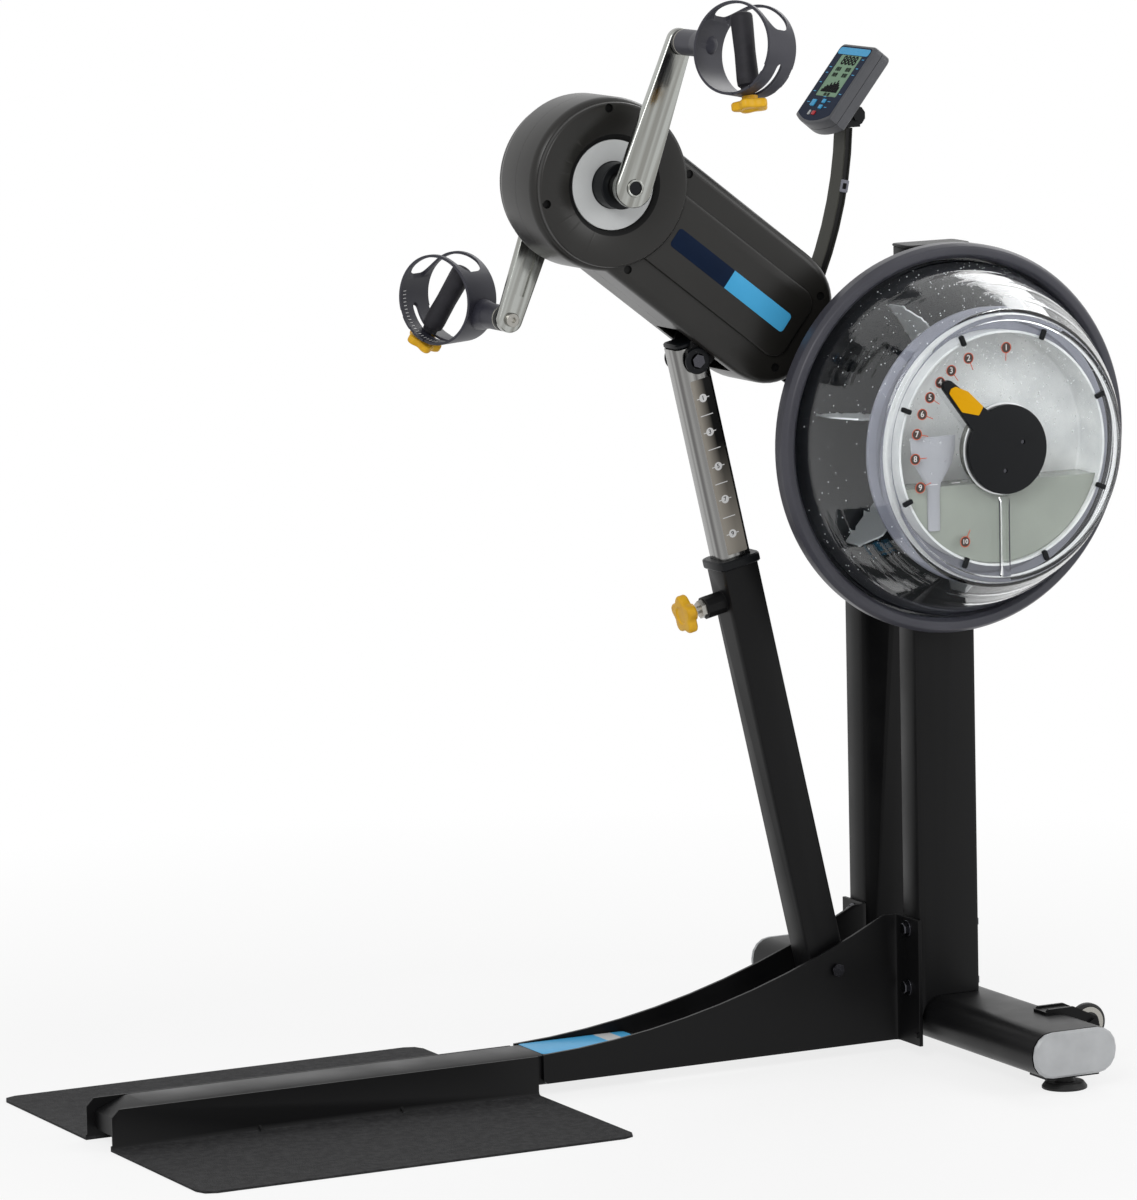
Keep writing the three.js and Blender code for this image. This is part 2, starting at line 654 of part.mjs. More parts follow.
function transportWheel() {
  const { radius, width, hubRadius, treadRound } = wheel;
  const bore = clearOf(wheel.bore);
  const half = width / 2;
  const profile = [
    [bore, -half],
    [hubRadius, -half],
    [hubRadius + treadRound, -half + treadRound],
    [radius - treadRound, -half + treadRound],
    [radius, -half + 2 * treadRound],
    [radius, half - 2 * treadRound],
    [radius - treadRound, half - treadRound],
    [hubRadius + treadRound, half - treadRound],
    [hubRadius, half],
    [bore, half],
    [bore, -half],
  ];
  return turned(profile, sides.round).translate(wheel.x, -wheel.y, wheel.z);
}

function uprightTube(topZ) {
  const { depth, width, corner, footZ, outerY } = upright;
  const middleY = -upright.middleY;
  const outside = raised(roundedBox(depth, width, corner, 0, middleY), footZ, topZ);
  const bore = raised(
    roundedBox(depth - 2 * tubeWall, width - 2 * tubeWall, corner - tubeWall, 0, middleY),
    footZ - overrun,
    topZ + overrun,
  );
  const tube = cut(outside, bore, stabiliserOval(seatGap, -outerY - overrun, 0));
  const sleeve = rod(hub.radius, -outerY, -headPlate.inner, tankAxis.x, tankAxis.z);
  const hubBore = bored(hub.bore, -outerY - overrun, 0, tankAxis.x, tankAxis.z);
  const nuts = [flangeBolt.lowZ, flangeBolt.highZ].map((z) =>
    boltHead(depth / 2, middleY, z, flangeBolt.head, flangeBolt.radius, sides.hex),
  );
  return cut(join(tube, sleeve, ...nuts), hubBore);
}

function uprightPlugCap(topZ) {
  const { depth, width, corner } = upright;
  const middleY = -upright.middleY;
  const { lip, lipOut, depth: down, wall, hollowCorner } = uprightPlug;
  const top = raised(
    roundedBox(depth + 2 * lipOut, width + 2 * lipOut, corner + lipOut, 0, middleY),
    topZ + seatGap,
    topZ + seatGap + lip,
    lipOut,
  );
  const inset = tubeWall + seatGap;
  const plug = raised(
    roundedBox(depth - 2 * inset, width - 2 * inset, corner - tubeWall, 0, middleY),
    topZ - down,
    topZ + seatGap + weld,
  );
  const hollow = raised(
    roundedBox(depth - 2 * inset - 2 * wall, width - 2 * inset - 2 * wall, hollowCorner, 0, middleY),
    topZ - down - overrun,
    topZ,
  );
  return cut(join(top, plug), hollow);
}

add("rail", railTube(), "frame");
addPair("step_plate", stepPlate(), "plate");
addPair("cheek", cheekPlate(), "frame");
add("upright_right", uprightTube(upright.rightTopZ), "frame");
add("upright_left", mirrored(uprightTube(upright.leftTopZ)), "frame");
add("upright_cap_right", uprightPlugCap(upright.rightTopZ), "rubber");
add("upright_cap_left", mirrored(uprightPlugCap(upright.leftTopZ)), "rubber");
add("rear_stabiliser", stabiliserTube(), "frame");
addPair("stabiliser_cap", stabiliserPlug(), "silver");
addPair("levelling_foot", levellingFoot(), "rubber");
addPair("transport_wheel", transportWheel(), "rubber");

// Height leg, drawn upright in its own frame with the lower pivot at the origin and the user's side at -X.
const legRun = new THREE.Vector2(leg.upper[0] - leg.lower[0], leg.upper[1] - leg.lower[1]);
const legLength = legRun.length();
const legFrame = new THREE.Group();
legFrame.position.set(leg.lower[0], 0, leg.lower[1]);
legFrame.rotation.y = Math.atan2(legRun.x, legRun.y);
ergometer.add(legFrame);

function squareTube(width, wall, z0, z1) {
  const outside = raised(roundedBox(width, width, leg.corner), z0, z1);
  const inner = width - 2 * wall;
  const bore = raised(roundedBox(inner, inner, leg.corner - wall), z0 - overrun, z1 + overrun);
  return cut(outside, bore);
}

function radial(radius, from, to, z, count = sides.round) {
  const bar = new THREE.CylinderGeometry(radius, radius, to - from, count).rotateZ(Math.PI / 2);
  return bar.translate(-(from + to) / 2, 0, z);
}

function outerLegTube() {
  const half = leg.outerWidth / 2;
  const tube = squareTube(leg.outerWidth, leg.outerWall, -leg.outerFoot, leg.outerTop);
  const boss = radial(pinBoss.radius, half - leg.outerWall / 2, half + pinBoss.length, pinBoss.place);
  const bore = radial(pinBoss.bore, leg.innerWidth / 2, half + pinBoss.length + overrun, pinBoss.place);
  const pivotSlot = slab(
    [-leg.slotFront, leg.slotRear],
    [-half - overrun, half + overrun],
    [-leg.outerFoot - overrun, leg.slotTop],
  );
  return cut(join(tube, boss), bore, pivotSlot);
}

function legCollar() {
  const lipWidth = leg.outerWidth + 2 * leg.collarOut;
  const bottom = leg.outerTop + seatGap;
  const lipShape = roundedBox(lipWidth, lipWidth, leg.corner + leg.collarOut);
  const lip = raised(lipShape, bottom, bottom + leg.collarHeight, leg.edge);
  const sleeveWidth = leg.outerWidth - 2 * leg.outerWall - 2 * seatGap;
  const sleeveShape = roundedBox(sleeveWidth, sleeveWidth, leg.corner - leg.outerWall);
  const sleeve = raised(sleeveShape, leg.outerTop - leg.collarInside, bottom + weld);
  const passage = leg.innerWidth + 2 * seatGap;
  const pinPassage = radial(pinBoss.bore, 0, leg.outerWidth, pinBoss.place);
  const bore = raised(roundedBox(passage, passage, leg.corner), 0, leg.outerTop + 2 * leg.collarHeight);
  return cut(join(lip, sleeve), bore, pinPassage);
}

function innerLegTube() {
  const tube = squareTube(leg.innerWidth, leg.outerWall, leg.innerFoot, legLength + leg.innerTop);
  return cut(tube, bored(leg.bolt + runningGap, -leg.innerWidth, leg.innerWidth, 0, legLength, sides.small));
}

function legTopCap() {
  const top = legLength + leg.innerTop + seatGap;
  const inner = leg.innerWidth - 2 * leg.outerWall - 2 * seatGap;
  const lidShape = roundedBox(leg.innerWidth, leg.innerWidth, leg.corner);
  const lid = raised(lidShape, top, top + leg.capHeight, leg.edge);
  const plug = raised(roundedBox(inner, inner, leg.corner - leg.outerWall), top - leg.capHeight, top + weld);
  return join(lid, plug);
}

const pinFoot = leg.innerWidth / 2 + seatGap;
const pinBossEnd = leg.outerWidth / 2 + pinBoss.length;

function pullPinPiece() {
  const { radius, collar, collarLength, nut, nutLength, stem } = pullPin;
  const nutFrom = pinBossEnd + seatGap;
  const shank = radial(radius, pinFoot, nutFrom + nutLength + stem, pinBoss.place, sides.small);
  const collarRing = radial(collar, pinFoot + collarLength, pinFoot + 2 * collarLength, pinBoss.place);
  const nutBlock = radial(nut, nutFrom, nutFrom + nutLength, pinBoss.place, sides.hex);
  return join(shank, collarRing, nutBlock);
}

function lobedKnob({ radius, lobe, lobes, thickness, neck, neckLength, bevel }, bore, boreDepth) {
  const disc = raised(lobed(radius, lobe, lobes), neckLength, neckLength + thickness, bevel);
  const neckPost = post(neck, 0, neckLength + weld, 0, 0, sides.small);
  return cut(join(disc, neckPost), post(bore, -overrun, boreDepth, 0, 0, sides.small));
}

function pullKnobPiece() {
  const from = pinBossEnd + seatGap + pullPin.nutLength + pullPin.stem / 2;
  const knob = lobedKnob(pullKnob, pullPin.radius + seatGap, pullPin.stem / 2 + seatGap);
  return knob.rotateY(-Math.PI / 2).translate(-from, 0, pinBoss.place);
}

function pivotBolt(halfGrip, headRadius, headLength, z, spacer = 0) {
  const shank = rod(leg.bolt, -halfGrip - weld, halfGrip + weld, 0, z, sides.small);
  const heads = [-1, 1].map((s) =>
    rod(headRadius, s * halfGrip, s * (halfGrip + headLength), 0, z, sides.hex),
  );
  if (!spacer) return join(shank, ...heads);
  const inner = leg.outerWidth / 2 + 2 * seatGap;
  const spacers = [-1, 1].map((s) => rod(spacer, s * inner, s * (cheekInner - seatGap), 0, z, sides.small));
  return join(shank, ...heads, ...spacers);
}

add("leg_outer_tube", outerLegTube(), "frame", legFrame);
add("leg_collar", legCollar(), "rubber", legFrame);
add("leg_inner_tube", innerLegTube(), "chrome", legFrame);
add("leg_top_cap", legTopCap(), "rubber", legFrame);
add("pull_pin", pullPinPiece(), "chrome", legFrame);
add("pull_knob", pullKnobPiece(), "yellow", legFrame);
const lowerGrip = cheekInner + sheet + seatGap;
add("lower_pivot_bolt", pivotBolt(lowerGrip, lug.bolt, lug.boltHead, 0, lug.bolt), "black", legFrame);
add("upper_pivot_bolt", pivotBolt(lug.outer + seatGap, lug.bolt, lug.boltHead, legLength), "black", legFrame);

// Head: x from the spindle to the tank shaft
const headRun = new THREE.Vector2(tankAxis.x - spindle.x, tankAxis.z - spindle.z);
const headLength = headRun.length();
const headSlope = Math.atan2(-headRun.y, headRun.x);
const headFrame = new THREE.Group();
headFrame.position.set(spindle.x, 0, spindle.z);
headFrame.rotation.y = headSlope;
ergometer.add(headFrame);

// A place in the side view, told in the head's own frame.
function inHead([x, z]) {
  const place = new THREE.Vector2(x - spindle.x, z - spindle.z).rotateAround(new THREE.Vector2(), headSlope);
  return [place.x, place.y];
}

function headFramePiece() {
  const profile = strap(headPlate.spindleEnd, headPlate.tankEnd, headLength);
  const plates = [-headPlate.outer, headPlate.inner].map((y) =>
    sideways(profile, y, y + sheet, 0, arcSteps.end),
  );
  const between = [-headPlate.inner - weld, headPlate.inner + weld];
  const houses = [-1, 1].map((s) => rod(bearingHouse.radius, s * headPlate.inner, s * bearingHouse.outerY));
  const tubes = headPlate.tubeShares.map((share) =>
    rod(headPlate.tubeRadius, ...between, share * headLength, 0, sides.small),
  );
  const [lugX, lugZ] = inHead(leg.upper);
  const ear = new THREE.Shape();
  ear.moveTo(lugX + lug.halfBase, lug.webBottom + weld);
  ear.lineTo(lugX - lug.halfBase, lug.webBottom + weld);
  ear.absarc(lugX, lugZ, lug.radius, Math.PI, 2 * Math.PI);
  ear.closePath();
  const ears = [-lug.outer, lug.inner].map((y) => sideways(ear, y, y + lug.outer - lug.inner));
  const web = slab([lugX - lug.halfBase, lugX + lug.halfBase], between, [lug.webBottom, lug.webTop]);
  const socketBlock = slab(
    [socket.x - socket.length / 2, socket.x + socket.length / 2],
    between,
    [socket.z - socket.height / 2, socket.z + socket.height / 2],
  );
  const whole = join(...plates, ...houses, ...tubes, ...ears, web, socketBlock);
  return cut(
    whole,
    bored(spindle.radius + runningGap, -2 * bearingHouse.outerY, 2 * bearingHouse.outerY),
    bored(hub.radius + runningGap, -2 * headPlate.outer, 2 * headPlate.outer, headLength, 0),
    bored(leg.bolt + runningGap, -2 * lug.outer, 2 * lug.outer, lugX, lugZ, sides.small),
  );
}

function coverOutline(inset) {
  const radius = cover.discRadius - inset;
  const half = cover.halfWidth - inset;
  const discEnd = Math.asin(half / radius);
  const shape = new THREE.Shape();
  shape.absarc(0, 0, radius, discEnd, 2 * Math.PI - discEnd);
  shape.lineTo(cover.endStart, -half);
  shape.quadraticCurveTo(cover.endControl - inset, -half, cover.length - inset, -cover.endHalf);
  shape.lineTo(cover.length - inset, cover.endHalf);
  shape.quadraticCurveTo(cover.endControl - inset, half, cover.endStart, half);
  shape.closePath();
  return shape;
}

// The half shell's outer side is rounded over a wide edge, and its seam side is square.
function coverStock(inset, face) {
  const edge = Math.max(cover.edge - inset, seatGap);
  const body = extruded(coverOutline(inset), 2 * face, edge, inset ? arcSteps.end : arcSteps.sweep);
  body.rotateX(Math.PI / 2).translate(0, face, 0);
  const reach = 2 * cover.length;
  return meet(body, slab([-reach, reach], [-2 * face, -seatGap / 2], [-reach, reach]));
}

function headCover() {
  const { half, wall, edge, faceDisc, faceDiscHeight, faceDiscEdge, discRadius, length } = cover;
  const disc = turned([
    [0, -half + edge],
    [faceDisc, -half + edge],
    [faceDisc, -half - faceDiscHeight + faceDiscEdge],
    [faceDisc - faceDiscEdge, -half - faceDiscHeight],
    [0, -half - faceDiscHeight],
  ], sides.fine);
  const panel = roundedBox(
    cover.panelEnd - cover.panelFront,
    2 * cover.panelHalf,
    cover.panelCorner,
    (cover.panelEnd + cover.panelFront) / 2,
  );
  const panelFace = -half - cover.panelHeight;
  const panelRise = sideways(panel, panelFace, -half + weld, cover.panelHeight / 2, arcSteps.oval);
  const recess = turned([
    [0, -half + edge],
    [cover.bore, -half + edge],
    [cover.bore, -ringPlate.to],
    [cover.bore + cover.recessSlope, -half - faceDiscHeight - overrun],
    [0, -half - faceDiscHeight - overrun],
  ], sides.smooth);
  const deep = 2 * discRadius;
  const [lugX] = inHead(leg.upper);
  const lugSlot = slab(
    [lugX - cover.lugSlotReach, lugX + cover.lugSlotReach],
    [-lug.outer - cover.lugGap, overrun],
    [-deep, cover.lugSlotDepth - cover.halfWidth],
  );
  const armSlot = slab(
    [socket.x - cover.armSlotFront, socket.x + cover.armSlotRear],
    [-arm.width / 2 - cover.armGap, overrun],
    [0, deep],
  );
  const mouthFrom = length - cover.mouthDepth;
  const narrowing = ((headPlate.spindleEnd - headPlate.tankEnd) * mouthFrom) / headLength;
  const mouthHalf = headPlate.spindleEnd - narrowing + cover.mouthGap;
  const rearMouth = slab([mouthFrom, length + overrun], [-half + wall, overrun], [-mouthHalf, mouthHalf]);
  const screws = cover.screwPlaces.flatMap(([x, z]) =>
    [-1, 1].map((s) => {
      const face = x < 0 ? half + faceDiscHeight : half;
      return rod(cover.screwRadius, -face - overrun, -face + cover.screwDepth, x, s * z, sides.small);
    }),
  );
  const stock = join(coverStock(0, half), disc, panelRise);
  return cut(stock, coverStock(wall, half - wall), recess, lugSlot, armSlot, rearMouth, ...screws);
}

function ringPlatePiece() {
  const { outer, from, to, edge } = ringPlate;
  const inner = clearOf(ringPlate.inner, sides.smooth);
  return turned([
    [inner, -from],
    [outer, -from],
    [outer, -to + edge],
    [outer - edge, -to],
    [inner, -to],
    [inner, -from],
  ], sides.smooth);
}

function spindleShaft() {
  const { radius, halfLength, collar, collarFrom, collarTo } = spindle;
  const shaft = rod(radius, -halfLength, halfLength);
  const collars = [-1, 1].map((s) => rod(collar, s * collarFrom, s * collarTo));
  return join(shaft, ...collars);
}

function pulley(radius, shaftRadius, count) {
  const { from, to, flange, rim } = drive;
  const bore = clearOf(shaftRadius + seatGap, count);
  return turned([
    [bore, -to],
    [radius + flange, -to],
    [radius + flange, -to + rim],
    [radius, -to + rim],
    [radius, -from - rim],
    [radius + flange, -from - rim],
    [radius + flange, -from],
    [bore, -from],
    [bore, -to],
  ], count);
}

function beltLoop() {
  const inner = belt.gap;
  const outer = belt.thickness + belt.gap;
  const loop = strap(drive.radius + outer, drive.drivenRadius + outer, headLength);
  holeIn(loop, strap(drive.radius + inner, drive.drivenRadius + inner, headLength));
  const margin = drive.rim + belt.margin;
  return sideways(loop, -drive.to + margin, -drive.from - margin, 0, arcSteps.belt);
}

add("head_frame", headFramePiece(), "frame", headFrame);
addPair("head_cover", headCover(), "moulding", headFrame);
addPair("spindle_ring", ringPlatePiece(), "pale", headFrame);
add("drive_belt", beltLoop(), "rubber", headFrame);
add("crank_spindle", spindleShaft(), "chrome", headFrame);
add("drive_pulley", pulley(drive.radius, spindle.radius, sides.smooth), "black", headFrame);

// Cranks: drawn with the pin straight above the spindle, on the right side
function crankArm() {
  const { length, eye, end, from, outer, eyeFrom, edge, plug, plugOut } = crank;
  const bar = sideways(strap(eye, end, length), -outer, -from, edge, arcSteps.end);
  const boss = rod(eye - edge, -outer + edge, -eyeFrom);
  const plugDisc = rod(plug, -outer - plugOut, -outer + weld);
  const pocketHalf = crank.pocket / 2;
  const pocketFloor = -from - crank.pocketDepth;
  const pocket = slab(crank.pocketEnds, [pocketFloor, -from + overrun], [-pocketHalf, pocketHalf]);
  const spindleBore = bored(spindle.radius + seatGap, -spindle.halfLength - seatGap, 0);
  const pin = bored(handlePin.radius + runningGap, -outer - overrun, 0, length, 0, sides.small);
  return cut(join(bar, boss, plugDisc), pocket, spindleBore, pin).rotateY(-Math.PI / 2);
}

const crankRight = crankArm();
const crankLeft = crankRight.clone().rotateZ(Math.PI);
const crankFrame = (angle) => {
  const frame = new THREE.Group();
  frame.position.set(spindle.x, 0, spindle.z);
  frame.rotation.y = angle;
  ergometer.add(frame);
  return frame;
};
add("crank_right", crankRight, "chrome", crankFrame(crank.angle));
add("crank_left", crankLeft, "chrome", crankFrame(crank.angle + Math.PI));

// Handles: the crank pin is the frame's origin at the crank's outer face, and the sleeve runs to -Y
function ringTurned(geometry, lift) {
  const [x, y] = handle.centre;
  return geometry.rotateZ(THREE.MathUtils.degToRad(handle.turn)).translate(x, y, lift);
}

function guardRing(lift) {
  const { ringRadius, ringWall, ringWidth, window, slot, notch } = handle;
  const { capRadius, capEnd, capEdge, boreEnd } = handle;
  const half = ringWidth / 2;
  const inner = ringRadius - ringWall;
  const farSide = ringRadius + overrun;
  const hoop = turned([
    [inner, -half],
    [ringRadius, -half],
    [ringRadius, half],
    [inner, half],
    [inner, -half],
  ], sides.ring);
  const windowBlock = raised(roundedBox(window.length, window.width, window.corner), 0, farSide);
  windowBlock.rotateY(THREE.MathUtils.degToRad(window.turn));
  const slotBlock = raised(roundedBox(slot.length, slot.width, slot.corner), -farSide, 0);
  slotBlock.rotateY(THREE.MathUtils.degToRad(-slot.turn));
  const notches = notch.turns.flatMap((turn) =>
    [half - notch.depth, -half - overrun].map((from) => {
      const block = slab(
        [-notch.length / 2, notch.length / 2],
        [from, from + notch.depth + overrun],
        [-farSide, -farSide + notch.height],
      );
      return block.rotateY(THREE.MathUtils.degToRad(-turn));
    }),
  );
  const ring = ringTurned(cut(hoop, windowBlock, slotBlock, ...notches), lift);
  const inside = ringTurned(rod(inner, -half, half, 0, 0, sides.ring), lift);
  const sleeve = cut(rod(handle.sleeveRadius, -handle.wallReach, -handle.gap), inside);
  const cap = turned([
    [0, -boreEnd],
    [capRadius, -boreEnd],
    [capRadius, -capEnd + capEdge],
    [capRadius - capEdge, -capEnd],
    [0, -capEnd],
  ], sides.small);
  return cut(join(ring, sleeve, cap), bored(handle.boreRadius, -boreEnd, 0));
}

function handlePinPiece() {
  const inside = crank.thickness + seatGap;
  const { head, headLength, radius, bearing, bearingFrom, bearingTo, end, socketDepth } = handlePin;
  const shank = rod(radius, -end, inside + weld, 0, 0, sides.small);
  const capHead = rod(head, inside, inside + headLength);
  const top = inside + headLength;
  const hexSocket = rod(handlePin.socket, top - socketDepth, top + overrun, 0, 0, sides.hex);
  return cut(join(shank, capHead, rod(bearing, -bearingTo, -bearingFrom)), hexSocket);
}

// The grip stands on the ring's inner wall and its stud passes the slot. Its origin is the ring's centre.
const ringInner = handle.ringRadius - handle.ringWall;
const ringFlat = ringInner * Math.cos(Math.PI / sides.ring);
const gripSeat = Math.sqrt(ringFlat ** 2 - grip.root ** 2) - seatGap;

function gripPiece() {
  const { length, radius, waist, root, rootLength, shoulder, stud, studLength, round } = grip;
  const dome = [0, 1, 2].map((i) => {
    const angle = (i * Math.PI) / 4;
    return [radius - round * (1 - Math.cos(angle)), length - round * (1 - Math.sin(angle))];
  });
  const profile = [
    [0, -studLength],
    [stud, -studLength],
    [stud, 0],
    [root, 0],
    [root, rootLength],
    [radius - shoulder, rootLength + shoulder],
    [radius, rootLength + round],
    [waist, length / 2],
    [radius, length - 2 * round],
    ...dome,
    [0, length],
  ];
  return turned(profile).rotateX(Math.PI / 2).translate(0, 0, -gripSeat);
}

function gripKnobPiece() {
  const knob = lobedKnob(gripKnob, gripKnob.bore, grip.studLength);
  return knob.rotateX(Math.PI).translate(0, 0, -handle.ringRadius - seatGap);
}

function addHandle(name, place, side, { roll, lift, grip: gripTurn }) {
  const frame = new THREE.Group();
  frame.position.set(...place);
  frame.rotation.set(0, THREE.MathUtils.degToRad(roll), side);
  ergometer.add(frame);
  add("guard_ring_" + name, guardRing(lift), "slate", frame);
  add("handle_pin_" + name, handlePinPiece(), "chrome", frame);
  const ringFrame = new THREE.Group();
  ringFrame.position.set(...handle.centre, lift);
  ringFrame.rotation.z = THREE.MathUtils.degToRad(handle.turn);
  frame.add(ringFrame);
  const gripFrame = new THREE.Group();
  gripFrame.rotation.y = THREE.MathUtils.degToRad(gripTurn);
  ringFrame.add(gripFrame);
  add("grip_" + name, gripPiece(), "rubber", gripFrame);
  add("grip_knob_" + name, gripKnobPiece(), "yellow", gripFrame);
}

const pinX = crank.length * Math.sin(crank.angle);
const pinZ = crank.length * Math.cos(crank.angle);
addHandle("right", [spindle.x + pinX, -crank.outer, spindle.z + pinZ], 0, rightSet);
addHandle("left", [spindle.x - pinX, crank.outer, spindle.z - pinZ], Math.PI, leftSet);

// Fluid tank, drawn round its own axis
const tankFrame = new THREE.Group();
tankFrame.position.set(tankAxis.x, 0, tankAxis.z);
ergometer.add(tankFrame);

function tankBackShell() {
  const { backRadius, backFace, backWall, ringBack, flange, padFace, padSize } = tank;
  const lip = ringBack - seatGap;
  const shell = turned([
    [hub.bore, -backFace],
    [backRadius - backWall, -backFace],
    [backRadius, -backFace - backWall / 2],
    [backRadius, -lip],
    [flange + seatGap, -lip],
    [flange + seatGap, -backFace - backWall],
    [hub.bore, -backFace - backWall],
    [hub.bore, -backFace],
  ], sides.fine);
  const [padX, padZ] = padSize;
  const pad = slab([-padX / 2, padX / 2], [-backFace - weld, -padFace], [-padZ / 2, padZ / 2]);
  return join(shell, cut(pad, rod(hub.radius, -backFace - overrun - weld, 0)));
}

function tankRing() {
  const { ringRadius, ringInner, ringBack, ringFront, ringBevel, flange } = tank;
  return turned([
    [flange + 2 * seatGap, -ringBack],
    [ringRadius, -ringBack],
    [ringRadius, -ringFront + tank.ringOuterSlope],
    [ringRadius - ringBevel, -ringFront],
    [ringInner + ringBevel, -ringFront],
    [ringInner, -ringFront + tank.ringInnerSlope],
    [ringInner, -ringBack - seatGap],
    [flange + 2 * seatGap, -ringBack - seatGap],
    [flange + 2 * seatGap, -ringBack],
  ], sides.fine);
}

// The clear shell's side, from the throat at the ring to the front rim, swelling a little outward.
function shellSide(inset) {
  const throatY = tank.ringFront - tank.throatSetback;
  const steps = 2;
  return Array.from({ length: steps + 1 }, (_, i) => {
    const share = i / steps;
    const swell = tank.swell * Math.sin(Math.PI * share);
    const radius = tank.throat + (tank.noseRadius - tank.throat) * share + swell;
    return [radius - inset, -(throatY + (tank.noseY - throatY) * share)];
  });
}

function tankFrontShell() {
  const { flange, flangeThickness, wall, throat, rimY, rimOuter, rimInner, faceY } = tank;
  const back = tank.backFace + tank.backWall + seatGap;
  const stem = lever.stem + runningGap;
  const profile = [
    [throat - wall, -back],
    [flange, -back],
    [flange, -back - flangeThickness],
    [throat, -back - flangeThickness],
    ...shellSide(0),
    [rimOuter, -rimY],
    [rimInner, -rimY],
    [rimInner - wall / 2, -faceY],
    [stem, -faceY],
    [stem, -faceY + wall],
    [rimInner - wall, -faceY + wall],
    ...shellSide(wall).reverse(),
    [throat - wall, -back],
  ];
  const shell = turned(profile, sides.fine);
  const ribFrom = lever.hub + tank.ribGap;
  const ribY = -faceY + wall - tank.ribRadius;
  const rib = post(tank.ribRadius, -rimInner + weld, -ribFrom, 0, ribY, sides.small);
  const { length, width, height, inset } = tank.clip;
  const clips = Array.from({ length: tank.clipCount }, (_, i) => {
    const angle = (2 * Math.PI * (i + 1 / 2)) / tank.clipCount;
    const outer = rimInner - inset;
    const clip = slab([outer - length, outer], [-faceY - height, -faceY + weld], [-width / 2, width / 2]);
    return clip.rotateY(-angle);
  });
  return join(shell, rib, ...clips);
}

function reservoirDrum() {
  const { radius, back, wall, neck } = reservoir;
  const front = tank.faceY - tank.wall - seatGap;
  return turned([
    [neck, -back],
    [radius, -back],
    [radius, -front],
    [radius - wall, -front],
    [radius - wall, -back - wall],
    [neck, -back - wall],
    [neck, -back],
  ], sides.smooth);
}

function impellerWheel() {
  const { hub: hubRadius, disc, front, back, discThickness, blades, blade, tip, frontTip, sweep } = impeller;
  const bore = clearOf(tankShaft.radius + seatGap, sides.smooth);
  const centre = turned([
    [bore, -back],
    [disc, -back],
    [disc, -back - discThickness],
    [hubRadius, -back - discThickness],
    [hubRadius, -front],
    [bore, -front],
    [bore, -back],
  ], sides.smooth);
  const bend = new THREE.Shape();
  bend.moveTo(hubRadius - weld, -blade / 2);
  bend.quadraticCurveTo(tip / 2, -blade / 2, tip, sweep - blade / 2);
  bend.lineTo(tip, sweep + blade / 2);
  bend.quadraticCurveTo(tip / 2, blade / 2, hubRadius - weld, blade / 2);
  bend.closePath();
  const fins = Array.from({ length: blades }, (_, i) =>
    sideways(bend, -front, -back, 0, arcSteps.end).rotateY((2 * Math.PI * i) / blades),
  );
  const swept = turned([
    [0, -back],
    [tip, -back],
    [tip, -(back + front) / 2],
    [frontTip, -front],
    [0, -front],
  ], sides.smooth);
  return meet(join(centre, ...fins), swept);
}

function leverPiece() {
  const { hub: hubRadius, from, to, reach, root, tip, stem, stemEnd, edge } = lever;
  const disc = rod(hubRadius, -to, -from, 0, 0, sides.smooth);
  const armShape = strap(root, tip, reach - hubRadius / 2);
  const armBar = sideways(armShape, -to, -from, edge).translate(hubRadius / 2, 0, 0);
  const stemRod = rod(stem, -from - weld, -stemEnd);
  const whole = join(disc, armBar.rotateY(-lever.angle), stemRod);
  const screws = lever.screwPlaces.map(([x, z]) =>
    rod(lever.screw, -to - overrun, -to + edge, x, z, sides.small),
  );
  return cut(whole, ...screws);
}

function leverFlag() {
  const { thickness, edge, from, to, half, lowHalf, tipHalf, shoulder } = flag;
  const shape = outline([
    [from, -half],
    [shoulder, -half],
    [to, -tipHalf],
    [to, tipHalf],
    [shoulder, lowHalf],
    [from, lowHalf],
  ]);
  const back = lever.to + seatGap;
  return sideways(shape, -back - thickness, -back, edge).rotateY(-lever.angle);
}

add("tank_back_shell", tankBackShell(), "black", tankFrame);
add("tank_ring", tankRing(), "slate", tankFrame);
add("tank_front_shell", tankFrontShell(), "clear", tankFrame);
add("reservoir_drum", reservoirDrum(), "clear", tankFrame);
add("impeller", impellerWheel(), "silver", tankFrame);
add("tank_shaft", rod(tankShaft.radius, -tankShaft.front, tankShaft.rear), "chrome", tankFrame);
add("driven_pulley", pulley(drive.drivenRadius, tankShaft.radius, sides.round), "black", tankFrame);
add("level_lever", leverPiece(), "black", tankFrame);
add("level_flag", leverFlag(), "yellow", tankFrame);

